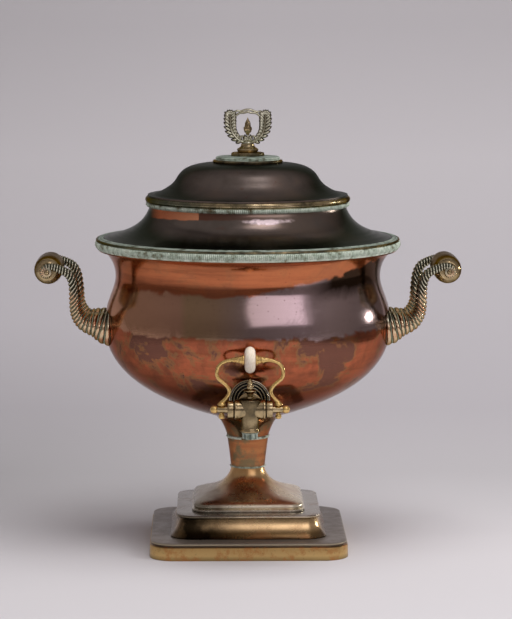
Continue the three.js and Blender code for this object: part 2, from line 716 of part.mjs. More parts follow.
function handleGroup(side, turn) {
  const group = new THREE.Group();
  group.add(
    piece(`handle_${side}_bracket`, bracketGeometry(), brassLook),
    piece(`handle_${side}_grip`, gripGeometry(), brassLook),
    piece(`handle_${side}_grip_pin`, gripPinGeometry(), brassLook),
    piece(`handle_${side}_rivet_a`, rivetGeometry(-1), copperLook),
    piece(`handle_${side}_rivet_b`, rivetGeometry(1), copperLook),
  );
  group.rotation.z = turn;
  return group;
}

// Tap: built with the plug's axis through the origin, then set on the belly

function tapBodyGeometry() {
  const { half } = barrel;
  const radius = plug.radius + barrel.wall;
  const endRadius = plug.radius + barrel.flangeWall;
  const ringRadius = plug.radius + barrel.ringWall;
  const housing = turnedOnX([
    at(0, -half), at(endRadius, -half), at(endRadius, -half + 5.6),
    at(radius - 1.4, -half + 6.2), at(ringRadius, -half + 7.4), at(ringRadius, -half + 8.6),
    at(radius, -half + 9.4), at(radius, half - 9.4), at(ringRadius, half - 8.6),
    at(ringRadius, half - 7.4), at(radius - 1.4, half - 6.2), at(endRadius, half - 5.6),
    at(endRadius, half), at(0, half),
  ], smallTurn);
  const down = turned([
    at(0, -spout.lip), at(spout.lipRadius - 0.8, -spout.lip),
    at(spout.lipRadius, -spout.lip + 1.2), at(spout.neckRadius + 0.3, -spout.lip + 3.6),
    at(spout.neckRadius, -spout.lip + 8), at(spout.neckRadius + 0.8, -6),
    at(spout.topRadius, 3), at(spout.topRadius, spout.top - 0.9),
    at(spout.topRadius - 1, spout.top), at(0, spout.top),
  ], smallTurn);
  const inward = spot(0, shank.inside, shank.lift);
  const tube = rod(spot(0, 0, shank.lift), inward, shank.radius, smallTurn);
  const collarEnd = boss.face - seatGap;
  const collar = rod(
    spot(0, collarEnd - shank.collar, shank.lift), spot(0, collarEnd, shank.lift),
    shank.collarRadius, smallTurn);
  const body = joined(housing, down, tube, collar);
  const taper = turnedOnX([
    at(0, -half - past), at(plug.radius + boreGap, -half - past),
    at(plug.radius - plug.taper + boreGap, half + past), at(0, half + past),
  ], smallTurn);
  const shankBore = rod(spot(0, 0, 0), spot(0, shank.inside + past, 0), shank.bore, pinTurn);
  const spoutBore = rod(spot(0, 0, 0), spot(0, 0, -spout.lip - past), spout.bore, pinTurn);
  const tenonHole = rod(
    spot(0, 0, spout.top - tapFinial.tenon - seatGap), spot(0, 0, spout.top + past),
    tapFinial.tenonRadius + boreGap, pinTurn);
  return cut(body, taper, shankBore, spoutBore, tenonHole);
}

function nozzleGeometry() {
  const { radius, tipRadius, height } = nozzle;
  return turned([
    at(spout.bore, -height), at(tipRadius - 0.5, -height), at(tipRadius, -height + 0.8),
    at(tipRadius, -1.6), at(radius, -1), at(radius, 0), at(spout.bore, 0),
  ], smallTurn).translate(0, 0, -spout.lip);
}

function tapFinialGeometry() {
  const { tenonRadius, tenon, height, cupRadius, bulbRadius } = tapFinial;
  return turned([
    at(0, -tenon), at(tenonRadius, -tenon), at(tenonRadius, 0.1), at(2.5, 0.1), at(2.3, 2.2),
    at(3.4, 5.4), at(cupRadius, 8), at(cupRadius, 8.7), at(bulbRadius - 0.4, 9.6),
    at(bulbRadius, 11.6), at(2, 14), at(bulbRadius - 0.4, 16.4), at(1.8, height - 1),
    at(0, height),
  ], pinTurn).translate(0, 0, spout.top);
}

function plugGeometry() {
  const { radius, taper, studRadius, port } = plug;
  const threadEnd = studEnd + plugNut.thread;
  const body = turnedOnX([
    at(0, -threadEnd), at(plugNut.threadRadius, -threadEnd), at(plugNut.threadRadius, -studEnd),
    at(studRadius, -studEnd), at(studRadius, -barrel.half), at(radius, -barrel.half),
    at(radius - taper, barrel.half), at(studRadius, barrel.half), at(studRadius, studEnd),
    at(plugNut.threadRadius, studEnd), at(plugNut.threadRadius, threadEnd), at(0, threadEnd),
  ], smallTurn);
  const down = rod(spot(0, 0, 0), spot(0, 0, -radius - past), port, pinTurn);
  const forward = rod(spot(0, 0, 0), spot(0, -radius - past, 0), port, pinTurn);
  const screwHole = (side) => rod(
    spot(side * keyFootX, 0, -studRadius - past), spot(side * keyFootX, 0, studRadius + past),
    keyFoot.screwRadius + boreGap, pinTurn);
  return cut(body, joined(down, forward), screwHole(-1), screwHole(1));
}

function plugNutGeometry() {
  const { radius, length, threadRadius, thread } = plugNut;
  const bore = threadRadius + boreGap;
  const seat = studEnd + seatGap;
  return turnedOnX([
    at(bore, seat), at(radius - 1, seat), at(radius, seat + length * 0.2),
    at(radius, seat + length * 0.6), at(radius - 1.2, seat + length * 0.87),
    at(0, seat + length), at(0, seat + thread + boreGap), at(bore, seat + thread + boreGap),
  ], pinTurn);
}

function keyArmGeometry() {
  const { thick, footRadius, footHeight, start, coneRadius, cone } = keyArm;
  const footZ = plug.studRadius + seatGap;
  const along = (out, share) => spot(
    out, 0, THREE.MathUtils.lerp(footZ + start, roundel.up, share));
  const route = new THREE.CatmullRomCurve3([
    ...keyRoute.map(([out, share]) => along(barrel.half + out, share)),
    along(coneStart + cone * 0.4, 1),
  ]);
  const section = new THREE.Shape().absarc(0, 0, thick / 2, 0, Math.PI * 2, false);
  const arm = new THREE.ExtrudeGeometry(section, {
    steps: 16, bevelEnabled: false, extrudePath: route, curveSegments: 4,
  });
  const foot = turned([
    at(0, 0), at(footRadius - 1.4, 0), at(footRadius, 1.2), at(footRadius - 0.8, 2.4),
    at(1.6, footHeight), at(0, footHeight),
  ], pinTurn).translate(keyFootX, 0, footZ);
  const end = turnedOnX([
    at(0, 0), at(coneRadius, 0), at(coneRadius - 0.3, cone * 0.18), at(2.2, cone * 0.58),
    at(1.7, cone), at(0, cone),
  ], pinTurn).translate(coneStart, 0, roundel.up);
  const screwHole = rod(
    spot(keyFootX, 0, footZ - past), spot(keyFootX, 0, footZ + keyFoot.bite + seatGap),
    keyFoot.screwRadius + boreGap, pinTurn);
  const pinHole = rod(
    spot(coneStart - past, 0, roundel.up),
    spot(coneStart + roundel.pinBite + seatGap, 0, roundel.up),
    roundel.pinRadius + boreGap, pinTurn);
  return cut(joined(arm, foot, end), screwHole, pinHole);
}

function keyScrewGeometry() {
  const { headRadius, headHeight, neck, screwRadius, bite } = keyFoot;
  const seat = -plug.studRadius - seatGap;
  const neckRadius = screwRadius + 0.8;
  const end = plug.studRadius + seatGap + bite;
  return turned([
    at(0, seat - neck - headHeight), at(headRadius - 0.8, seat - neck - headHeight),
    at(headRadius, seat - neck - headHeight + 1), at(headRadius, seat - neck - 0.6),
    at(neckRadius, seat - neck), at(neckRadius, seat), at(screwRadius, seat),
    at(screwRadius, end), at(0, end),
  ], pinTurn).translate(keyFootX, 0, 0);
}

function roundelGeometry() {
  const half = roundel.thick / 2;
  const bore = roundel.pinRadius + boreGap;
  const { radius } = roundel;
  return turnedOnX([
    at(bore, -half), at(radius - 4.4, -half), at(radius - 1.6, -half * 0.74),
    at(radius - 0.3, -half * 0.34), at(radius, 0), at(radius - 0.3, half * 0.34),
    at(radius - 1.6, half * 0.74), at(radius - 4.4, half), at(bore, half),
  ], smallTurn).translate(0, 0, roundel.up);
}

function ferruleGeometry() {
  const bore = roundel.pinRadius + boreGap;
  const start = roundel.thick / 2 + roundel.play;
  const end = start + ferrule.length;
  return turnedOnX([
    at(bore, start), at(ferrule.radius, start), at(ferrule.radius, start + ferrule.flange),
    at(ferrule.tipRadius, start + ferrule.flange + 0.5), at(ferrule.tipRadius, end),
    at(bore, end),
  ], pinTurn).translate(0, 0, roundel.up);
}

function crosspinGeometry() {
  const reach = coneStart + roundel.pinBite;
  return rod(
    spot(-reach, 0, roundel.up), spot(reach, 0, roundel.up), roundel.pinRadius, pinTurn);
}

// The boss: a ringed plate with a cone behind it, cut to the slope of the belly
function bossGeometry() {
  const { radius, lift, face, plate, coneIn, tailIn } = boss;
  const tail = -tapY - bowl.floorRadius;
  const shape = turnedOnY([
    at(0, face + 0.9), at(radius - 5, face + 0.9), at(radius - 4.2, face),
    at(radius - 3, face), at(radius - 2.4, face + 0.9), at(radius - 1.6, face + 0.5),
    at(radius, face + 1.5), at(radius, face + plate), at(radius - coneIn, face + plate + 0.6),
    at(radius - tailIn, tail), at(0, tail),
  ], smallTurn).translate(0, tapY, tapZ + lift);
  const hole = rod(
    spot(0, tapY, tapZ + shank.lift), spot(0, 0, tapZ + shank.lift),
    shank.radius + boreGap, smallTurn);
  return cut(shape, bowlFill(seatGap), hole);
}

// Heater and its socket

function socketGeometry() {
  const bore = socketRadius - sheet;
  return turned([
    at(0, 0), at(socketRadius, 0), at(socketRadius, socket.height), at(bore, socket.height),
    at(bore, sheet), at(0, sheet),
  ], stemTurn).translate(0, 0, socketZ);
}

function ironGeometry() {
  const { height, eyeRadius, eyeThick } = iron;
  const radius = socketRadius - sheet - iron.play;
  const billet = turned([
    at(0, 0), at(radius - 2, 0), at(radius, 2), at(radius, height - 2),
    at(radius - 2, height), at(0, height),
  ], smallTurn);
  const eye = new THREE.TorusGeometry(eyeRadius, eyeThick, 8, 16)
    .rotateX(Math.PI / 2).translate(0, 0, height + eyeRadius - eyeThick * 0.4);
  return joined(billet, eye).translate(0, 0, ironZ);
}

function coverGeometry() {
  const bore = socketRadius + cover.play;
  const radius = bore + sheet;
  return turned([
    at(0, 0), at(bore, 0), at(bore, -cover.skirt), at(radius, -cover.skirt),
    at(radius, sheet - 0.5), at(radius - 0.8, sheet), at(0, sheet),
  ], stemTurn).translate(0, 0, coverZ);
}

function coverKnobGeometry() {
  const { knobRadius, knobHeight, stalkRadius } = cover;
  return turned([
    at(0, 0), at(stalkRadius + 2.6, 0), at(stalkRadius, 2.4), at(stalkRadius, knobHeight * 0.4),
    at(knobRadius, knobHeight * 0.62), at(knobRadius, knobHeight * 0.8),
    at(knobRadius * 0.55, knobHeight), at(0, knobHeight),
  ], smallTurn).translate(0, 0, coverZ + sheet);
}

// Assembly

function baseGroup() {
  const group = new THREE.Group();
  const washerZ = padZ - step.wall - seatGap - tie.washerHeight;
  const nutZ = washerZ - seatGap - tieNut.height;
  const bore = tie.boltRadius + boreGap;
  group.add(
    piece('plinth_slab', slabGeometry(), brassLook),
    piece('plinth_step', stepGeometry().translate(0, 0, stepZ), brassLook),
    piece('foot_cushion', cushionGeometry().translate(0, 0, padZ), brassLook),
    piece('stem_lower', lowerStemGeometry().translate(0, 0, stemZ), copperLook),
    piece('stem_band', bandGeometry().translate(0, 0, bandZ), patinaLook),
    piece('stem_upper', upperStemGeometry().translate(0, 0, upperStemZ), copperLook),
    piece('tie_bolt', tieBoltGeometry(), steelLook),
    piece('tie_washer', ringGeometry(bore, tie.washerRadius, tie.washerHeight, smallTurn)
      .translate(0, 0, washerZ), steelLook),
    piece('tie_nut', nutGeometry(bore, tieNut.radius, tieNut.height)
      .translate(0, 0, nutZ), steelLook),
  );
  return group;
}

function bodyGroup() {
  const group = new THREE.Group();
  group.add(
    piece('bowl', bowlGeometry(), copperLook),
    piece('shoulder', shoulderGeometry(), darkCopperLook),
    piece('rim_border', borderGeometry(), patinaLook),
  );
  return group;
}

function lidGroup() {
  const group = new THREE.Group();
  const nutZ = lidTopZ - sheet - seatGap - stud.nutHeight;
  group.add(
    piece('lid_dome', lidDomeGeometry(), darkCopperLook),
    piece('lid_rim', lidRimGeometry(), brassLook),
    piece('lid_bezel', bezelGeometry(), brassLook),
    piece('finial_plate', finialPlateGeometry().translate(0, 0, lidTopZ), patinaLook),
    piece('finial_socle', socleGeometry().translate(0, 0, socleZ), brassLook),
    piece('finial_wreath', wreathGeometry(), brassLook),
    piece('finial_flame', flameGeometry(), brassLook),
    piece('finial_stud', finialStudGeometry(), steelLook),
    piece('finial_nut', nutGeometry(stud.radius + boreGap, stud.nutRadius, stud.nutHeight)
      .translate(0, 0, nutZ), brassLook),
  );
  return group;
}

function tapGroup() {
  const group = new THREE.Group();
  const half = new THREE.Group();
  half.rotation.z = Math.PI;
  group.add(
    piece('tap_body', tapBodyGeometry(), brassLook),
    piece('tap_nozzle', nozzleGeometry(), patinaLook),
    piece('tap_finial', tapFinialGeometry(), brassLook),
    piece('tap_plug', plugGeometry(), brassLook),
    piece('tap_roundel', roundelGeometry(), ivoryLook),
    piece('tap_crosspin', crosspinGeometry(), steelLook),
    half,
  );
  for (const [side, holder] of [['right', group], ['left', half]]) {
    holder.add(
      piece(`tap_plug_nut_${side}`, plugNutGeometry(), brassLook),
      piece(`tap_arm_${side}`, keyArmGeometry(), brassLook),
      piece(`tap_arm_screw_${side}`, keyScrewGeometry(), brassLook),
      piece(`tap_ferrule_${side}`, ferruleGeometry(), brassLook),
    );
  }
  group.position.set(0, tapY, tapZ);
  return group;
}

function heaterGroup() {
  const group = new THREE.Group();
  group.add(
    piece('heater_socket', socketGeometry(), copperLook),
    piece('heater_iron', ironGeometry(), ironLook),
    piece('socket_cover', coverGeometry(), brassLook),
    piece('socket_cover_knob', coverKnobGeometry(), brassLook),
  );
  return group;
}

const urn = new THREE.Group();
urn.add(
  baseGroup(), bodyGroup(), lidGroup(), handleGroup('left', 0), handleGroup('right', Math.PI),
  piece('tap_boss', bossGeometry(), brassLook), tapGroup(), heaterGroup(),
);
const frontReach = Math.max(spout.topRadius, roundel.radius) - tapY;
urn.position.y = (frontReach - borderRadius) / 2;

export default urn;
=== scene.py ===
import bisect
import math

import bmesh
import bpy
from mathutils import Matrix, Vector
from mathutils.geometry import interpolate_bezier


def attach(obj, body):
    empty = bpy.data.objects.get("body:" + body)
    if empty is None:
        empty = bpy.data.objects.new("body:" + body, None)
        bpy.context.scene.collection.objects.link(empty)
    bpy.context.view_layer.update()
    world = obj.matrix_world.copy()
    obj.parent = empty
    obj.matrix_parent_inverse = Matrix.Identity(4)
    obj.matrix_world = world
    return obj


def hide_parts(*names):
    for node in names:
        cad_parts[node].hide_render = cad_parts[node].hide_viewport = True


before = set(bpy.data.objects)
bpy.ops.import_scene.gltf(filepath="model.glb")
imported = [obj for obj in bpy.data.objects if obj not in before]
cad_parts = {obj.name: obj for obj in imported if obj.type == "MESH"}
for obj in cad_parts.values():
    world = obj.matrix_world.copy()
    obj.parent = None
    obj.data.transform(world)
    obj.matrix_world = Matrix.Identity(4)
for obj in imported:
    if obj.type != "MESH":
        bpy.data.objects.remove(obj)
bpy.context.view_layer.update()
scene = bpy.context.scene

# ---------------------------------------------------------------- Camera
# The picture is taken from 2.7 m in front, a little left of the middle and looking slightly
# down, with a long lens that keeps the upright lines nearly parallel.

down, right = math.radians(6.84), math.radians(0.94)
camera = bpy.data.objects.new("camera", bpy.data.cameras.new("camera"))
camera.data.lens = 158.31
camera.data.clip_end = 40
camera.location = (-0.0361, -2.6906, 0.559)
camera.rotation_euler = (math.radians(90) - down, 0, -right)
scene.collection.objects.link(camera)
scene.camera = camera
scene.view_settings.view_transform = "Standard"

# ---------------------------------------------------------------- Table and backdrop
# One sheet of matt mauve-grey paper: flat under the urn, swept up behind it, and carried
# forward past the camera so that the polished belly has a pale table to mirror.


def colour(value):
    """A linear colour from an sRGB hex text, or a grey from a plain number."""
    if not isinstance(value, str):
        return (value, value, value, 1)
    parts = [int(value[i:i + 2], 16) / 255 for i in (1, 3, 5)]
    return (*[p / 12.92 if p <= 0.04045 else ((p + 0.055) / 1.055) ** 2.4 for p in parts], 1)


def feed(socket, value):
    """Links an output to a socket, or sets the socket's own value or colour."""
    if isinstance(value, bpy.types.NodeSocket):
        socket.id_data.links.new(value, socket)
    else:
        socket.default_value = colour(value) if isinstance(value, str) else value


def add(kind, *values, stops=(), give=None, **named):
    """Adds a node to the tree in hand and gives its output. The values go to its inputs in
    order, names with a capital letter are inputs too, and the other names are settings."""
    node = tree.nodes.new("ShaderNode" + kind)
    if kind == "Mix":
        node.data_type = "RGBA"
    for name, value in named.items():
        if name.islower():
            setattr(node, name, value)
        else:
            feed(node.inputs[name], value)
    for i, (place, value) in enumerate(stops):
        bands = node.color_ramp.elements
        band = bands[i] if i < 2 else bands.new(place)
        band.position = place
        band.color = colour(value)
    for socket, value in zip([s for s in node.inputs if s.enabled], values):
        feed(socket, value)
    return node.outputs[give] if give else next(s for s in node.outputs if s.enabled)


def finish(name):
    """A new material, its tree of nodes, and the place on the object in metres."""
    made = bpy.data.materials.new(name)
    made.use_nodes = True
    place = made.node_tree.nodes.new("ShaderNodeTexCoord").outputs["Object"]
    return made, made.node_tree, place


def surface(**values):
    """Feeds the shader of the tree in hand, and gives its output."""
    shader = tree.nodes["Principled BSDF"]
    sockets = {socket.name.lower().replace(" ", "_"): socket for socket in shader.inputs}
    for name, value in values.items():
        feed(sockets[name], value)
    return shader.outputs[0]


# Plain matt paper: no mirror and a faint tooth. Its colour carries painted shade: paler where it
# lies flat and darker up the sweep, darker to the sides and behind, with a painted shadow pooled
# behind the urn's left. It is clear from behind, so that the urn's back can be seen.
paper, tree, place = finish("matt backdrop paper with painted shade")
x, y, z = add("SeparateXYZ", place).node.outputs
up = add("MapRange", z, 0, 0.5)
painted_sweep_shade = add("ValToRGB", up, stops=[
    (0, "#d6d3d5"), (0.1, "#cfcbcf"), (0.3, "#d4d0d4"), (0.65, "#d9d5d8"), (1, "#cbc7ca")])
# Painted shade: darker towards the sides, most to the left.
across = add("MapRange", x, -0.4, 0.45)
shade = add("ValToRGB", across, stops=[(0, 0.91), (0.5, 0.96), (1, 0.93)])
tint = add("Mix", 1, painted_sweep_shade, shade, blend_type="MULTIPLY")
# Painted shade further back, and a painted shadow pooled behind and to the left of the urn.
painted_far_shade = add("MapRange", y, 0.02, 0.36, 1, 0.77)
shadow_spot_place = add("Mapping", place, Location=(0.8, -0.5, 0), Scale=(2.4, 2, 2))
painted_shadow_pool = add("TexGradient", shadow_spot_place, gradient_type="SPHERICAL", give="Fac")
painted_shadows = add("Math", painted_shadow_pool, -0.2, painted_far_shade, operation="MULTIPLY_ADD")
painted_shade_colour = add("Mix", 1, tint, painted_shadows, blend_type="MULTIPLY")
fibre = add("TexNoise", place, Scale=900, Detail=3)
tooth = add("Bump", Height=fibre, Strength=0.1, Distance=0.0002)
face = surface(base_color=painted_shade_colour, normal=tooth, roughness=0.9, specular_ior_level=0.2)
behind = add("NewGeometry", give="Backfacing")
clear = add("BsdfTransparent")
one_way = add("MixShader", behind, face, clear)
feed(tree.nodes["Material Output"].inputs["Surface"], one_way)

flat_to, sweep_radius, paper_top = 0.25, 0.9, 5.0
profile = [(flat_to + sweep_radius * math.sin(a), sweep_radius - sweep_radius * math.cos(a))
           for a in (math.radians(6 * i) for i in range(16))]
bm = bmesh.new()
front = [bm.verts.new((x, y, 0)) for x, y in ((-2.0, -5.0), (0.85, -1.1))]
edge = [bm.edges.new(front)]
for reach, height in profile + [(flat_to + sweep_radius, paper_top)]:
    grown = bmesh.ops.extrude_edge_only(bm, edges=edge)["geom"]
    edge = [e for e in grown if isinstance(e, bmesh.types.BMEdge)
            and all(v in grown for v in e.verts)]
    for v in [v for v in grown if isinstance(v, bmesh.types.BMVert)]:
        v.co.y, v.co.z = reach, height
bmesh.ops.recalc_face_normals(bm, faces=bm.faces)
bmesh.ops.reverse_faces(bm, faces=bm.faces)
sweep = bpy.data.meshes.new("backdrop")
bm.to_mesh(sweep)
bm.free()
sweep.shade_smooth()
sweep.materials.append(paper)
backdrop = bpy.data.objects.new("backdrop", sweep)
scene.collection.objects.link(backdrop)

# ---------------------------------------------------------------- Light
# Soft studio light: boxes overhead and at the right light the shapes but aren't mirrored. A
# window with its curtain, a canopy and a small round spark are what the metal mirrors.


def lamp(name, spot, aim, size, power, tint, shape="SQUARE"):
    """A flat lamp at a spot, turned towards its aim."""
    light = bpy.data.lights.new(name, "AREA")
    light.shape = shape
    light.size = size[0]
    light.size_y = size[-1]
    light.energy = power
    light.color = colour(tint)[:3]
    holder = bpy.data.objects.new(name, light)
    holder.location = spot
    holder.rotation_euler = (Vector(aim) - Vector(spot)).to_track_quat("-Z", "Y").to_euler()
    scene.collection.objects.link(holder)
    return holder


for name, spot, size, power in (("overhead", (0.2, -0.6, 2.6), 1.8, 44),
                                ("key", (2.0, -0.9, 1.5), 0.9, 17)):
    lamp(name, spot, (0, 0.1, 0.1), (size, size), power, "#ffffff").visible_glossy = False
lamp("window", (1.012, -2.22, 1.52), (0, 0, 0.25), (2.17, 1.1), 7.6, "#f1ebf5", "RECTANGLE")
lamp("curtain", (1.08, -2.24, 1.53), (0, 0, 0.25), (2.7, 1.22), 2.4, "#f1ebf5", "RECTANGLE")
lamp("canopy", (0.45, -0.78, 2.47), (0, 0, 0.25), (0.8, 0.8), 5.0, "#f6f0f8")
lamp("spark", (1.86, 0.76, 0.46), (0, 0, 0.24), (0.16, 0.16), 5, "#ffffff", "DISK")
world = bpy.data.worlds.new("room")
world.use_nodes = True
tree = world.node_tree
x, y, z = add("SeparateXYZ", add("TexCoord", give="Generated")).node.outputs
ceiling = add("ValToRGB", z, stops=[
    (0, "#77706f"), (0.3, "#7b7474"), (0.8, "#918c8d"), (1, "#8d8889")])
feed(tree.nodes["Background"].inputs["Color"], ceiling)
scene.world = world

# ---------------------------------------------------------------- Slab
# The plinth's slab: a shallow cast tray of brass, open below, with a sunk line and a bead
# round its top edge. Its sides are rubbed gold and its top has dulled to mauve brown.


def bend(start, pull, end, push, steps):
    """Points of a section's curve, leaving along pull and arriving along push."""
    corners = [Vector((*p, 0)) for p in (start, (start[0] + pull[0], start[1] + pull[1]),
                                         (end[0] - push[0], end[1] - push[1]), end)]
    return [(p.x, p.y) for p in interpolate_bezier(*corners, steps + 1)]


def rounded(section):
    """A closed section in which a third number is the rounding of that corner."""
    out = []
    for i, point in enumerate(section):
        here = Vector(point[:2])
        if len(point) < 3:
            out.append(here)
            continue
        before, after = [Vector(section[(i + k) % len(section)][:2]) for k in (-1, 1)]
        start = here + (before - here).normalized() * point[2]
        end = here + (after - here).normalized() * point[2]
        curve = [p.to_3d() for p in (start, start.lerp(here, 0.55), end.lerp(here, 0.55), end)]
        out += [p.to_2d() for p in interpolate_bezier(*curve, 5)]
    return out


def lofted(bm, rings, closed=False):
    """A skin grown from ring to ring of equal counts, closed on itself or capped."""
    count = len(rings[0])
    ring = bmesh.ops.create_circle(bm, segments=count, radius=1)["verts"]
    for v, spot in zip(ring, rings[0]):
        v.co = spot
    first = ring
    sides = [bm.edges.get((ring[i], ring[i - 1])) for i in range(count)]
    start = sides
    for spots in rings[1:]:
        grown = bmesh.ops.extrude_edge_only(bm, edges=sides)["geom"]
        new = {v for v in grown if isinstance(v, bmesh.types.BMVert)}
        ring = [next(e.other_vert(v) for e in v.link_edges if e.other_vert(v) in new)
                for v in ring]
        for v, spot in zip(ring, spots):
            v.co = spot
        sides = [bm.edges.get((ring[i], ring[i - 1])) for i in range(count)]
    if closed:
        bmesh.ops.bridge_loops(bm, edges=sides + start)
    else:
        bm.faces.new(first)
        bm.faces.new(ring)


def square_ring(half, corner, height, steps=12):
    """A ring round a square with rounded corners, with a point at both ends of each side."""
    ring = []
    for quarter in range(4):
        middle = math.radians(90 * quarter + 45)
        centre = Vector((math.copysign(half - corner, math.cos(middle)),
                         math.copysign(half - corner, math.sin(middle)), height))
        for i in range(steps + 1):
            turn = math.radians(90 * (quarter + i / steps))
            ring.append(centre + Vector((math.cos(turn), math.sin(turn), 0)) * corner)
    return ring


stem_y = 0.00925


def placed(name, bm, material, body, node, sharp=35):
    """Ends a piece: millimetres about the stem become metres in the row's frame."""
    bmesh.ops.recalc_face_normals(bm, faces=bm.faces)
    to_row = Matrix.Translation((0, stem_y, 0)) @ Matrix.Scale(0.001, 4)
    bmesh.ops.transform(bm, matrix=to_row, verts=bm.verts)
    mesh = bpy.data.meshes.new(name)
    bm.to_mesh(mesh)
    bm.free()
    mesh.shade_smooth()
    mesh.set_sharp_from_angle(angle=math.radians(sharp))
    mesh.materials.append(material)
    piece = bpy.data.objects.new(name, mesh)
    scene.collection.objects.link(piece)
    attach(piece, body)
    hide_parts(node)
    return piece


# Sand-cast brass, filed and rubbed: gold where hands polish it, brown where they don't.
slab_brass, tree, place = finish("rubbed cast brass")
z = add("SeparateXYZ", place, give="Z")
level = add("MapRange", z, 0, 0.0175)
cloud = add("TexNoise", place, Scale=38, Detail=6, Roughness=0.62)
blur = add("Math", cloud, 0.05, level, operation="MULTIPLY_ADD")
tone = add("ValToRGB", blur, stops=[
    (0.02, "#9b8456"), (0.3, "#dab97c"), (0.72, "#c9a56a"), (0.8, "#655748"), (0.86, "#685a4b"),
    (0.9, "#b4a88a"), (0.96, "#857c70"), (1, "#786e64")])
stain = add("TexNoise", place, Scale=75, Detail=5, Roughness=0.7)
orange = add("ValToRGB", stain, stops=[(0.5, 0), (0.62, 0.6)])
under = add("Math", level, 0.78, operation="LESS_THAN")
edge = add("Math", orange, under, operation="MULTIPLY")
warm = add("Mix", edge, tone, "#c27f48")
dirt = add("TexNoise", place, Scale=260, Detail=4, Roughness=0.7)
specks = add("ValToRGB", dirt, stops=[(0.6, 0), (0.72, 0.35)])
worn = add("Mix", specks, warm, "#4a3c28")
gloss = add("MapRange", stain, 0.3, 0.7, 0.3, 0.5)
skin = add("Bump", Height=cloud, Strength=0.25, Distance=0.0006)
grain = add("Bump", Height=dirt, Normal=skin, Strength=0.15, Distance=0.0003)
bare = add("MapRange", level, 0.78, 0.8, 1, 0.45)
surface(base_color=worn, metallic=bare, roughness=gloss, normal=grain)

slab_section = rounded([
    (97.5, 0, 0.6), (97.2, 12.6, 0.6), (95.4, 13.4, 0.4), (95.3, 14.3, 0.4), (96.3, 15.1, 0.6),
    (96.2, 16.4, 0.6), (94.4, 17, 0.4), (60, 17, 0.4), (60, 13, 0.6), (91, 13, 2), (93.3, 0, 0.4)])
bm = bmesh.new()
lofted(bm, [square_ring(x, max(24 - (97.5 - x) * 0.5, 4.2), z) for x, z in slab_section],
       closed=True)
placed("slab", bm, slab_brass, "urn", "plinth_slab")

# ---------------------------------------------------------------- Step
# A second cast tray on the slab, with a hollow moulding and a rounded bead under its flat
# top. A painted highlight runs along the hollow, painted shade lies at its foot, and the top is
# dark.

# Cast brass left to brown, with a low satin shine. Its colour carries painted light: a highlight
# along the hollow, shade at the hollow's foot and over the left side, and a highlight at the far
# left corner.
bronze, tree, place = finish("browned cast brass with painted light")
x, y, z = add("SeparateXYZ", place).node.outputs
level = add("MapRange", z, 0.017, 0.077)
cloud = add("TexNoise", place, Scale=30, Detail=6, Roughness=0.6)
blur = add("Math", cloud, 0.02, level, operation="MULTIPLY_ADD")
# The height ramp paints a highlight band across the hollow and painted shade at its foot.
tone = add("ValToRGB", blur, stops=[
    (0, "#5c4c36"), (0.1, "#866a45"), (0.22, "#ffd9a0"), (0.335, "#a89068"), (0.36, "#c3b498"),
    (0.378, "#aaa498"), (0.44, "#e6dcc4"), (0.6, "#f8e8ca"), (0.8, "#e2c08c"), (1, "#e4b67a")])
stain = add("TexNoise", place, Scale=45, Detail=5, Roughness=0.6)
orange = add("ValToRGB", stain, stops=[(0.5, 0), (0.7, 0.35)])
warm = add("Mix", orange, tone, "#a4673f")
dirt = add("TexNoise", place, Scale=220, Detail=4, Roughness=0.7)
specks = add("ValToRGB", dirt, stops=[(0.64, 0), (0.75, 0.2)])
worn = add("Mix", specks, warm, "#453830")
# Painted shade over the left side, held back on the bead and the cushion, and a painted highlight
# at the far left corner.
across = add("Math", cloud, 0.05, x, operation="MULTIPLY_ADD")
along = add("MapRange", across, -0.08, 0.02)
painted_light_across = add("ValToRGB", along, stops=[(0.3, 0.75), (0.42, 0.05), (0.62, 0.06), (0.94, 1)])
painted_shade_limit = add("ValToRGB", level, stops=[(0.33, 0), (0.37, 0.6), (0.42, 0.6), (0.44, 0.4)])
wipe_marks_and_painted_light = add("Math", painted_light_across, painted_shade_limit, operation="MAXIMUM")
with_painted_light = add("Mix", 1, worn, wipe_marks_and_painted_light, blend_type="MULTIPLY")
gloss = add("MapRange", stain, 0.3, 0.7, 0.2, 0.32)
satin = add("MapRange", z, 0.042, 0.045, 0, 0.03)
soft = add("Math", gloss, satin, operation="ADD")
skin = add("Bump", Height=cloud, Strength=0.06, Distance=0.0005)
surface(base_color=with_painted_light, roughness=soft, normal=skin, metallic=1)

step_section = rounded([
    (77, 17.1, 0.4)] + bend((77, 18.2), (-3.6, 3.4), (68.5, 35.6), (-1.0, 8), 16) + [
    (69.2, 36.3, 0.4), (71, 36.7, 0.8), (71, 39.5, 1.1), (4.4, 39.5), (4.4, 36),
    (64, 36, 2), (65.5, 27, 2), (73, 17.1, 0.3)])
bm = bmesh.new()
lofted(bm, [square_ring(x, min(x, max(18 - (71 - x) * 0.6, 8)), z) for x, z in step_section],
       closed=True)
placed("step", bm, bronze, "urn", "plinth_step")

# ---------------------------------------------------------------- Cushion
# The foot of the stem, cast hollow: a square pad that swells like a cushion and sweeps up
# into a round neck. One long tie bolt pulls it and the step down on the slab.


def sheet(outline, thick):
    """A closed section from an outline and its offset to the left."""
    back = []
    for i, point in enumerate(outline):
        here = Vector(point)
        before = Vector(outline[max(i - 1, 0)])
        after = Vector(outline[min(i + 1, len(outline) - 1)])
        run_in = (here - before).normalized() if i else (after - here).normalized()
        run_out = (after - here).normalized() if i + 1 < len(outline) else run_in
        side = (run_in + run_out).normalized().orthogonal()
        back.append(here + side * thick / max(side.dot(run_out.orthogonal()), 0.3))
    return [Vector(p) for p in outline] + back[::-1]


def cushion_corner(half, neck=16.5, pad=53.8, corner=16):
    """How far the corners are rounded at a half width: a circle at the neck, less below."""
    if half <= neck:
        return half - 0.01
    share = min((half - neck) / (pad - neck), 1)
    return half * (1 - share) + corner * share


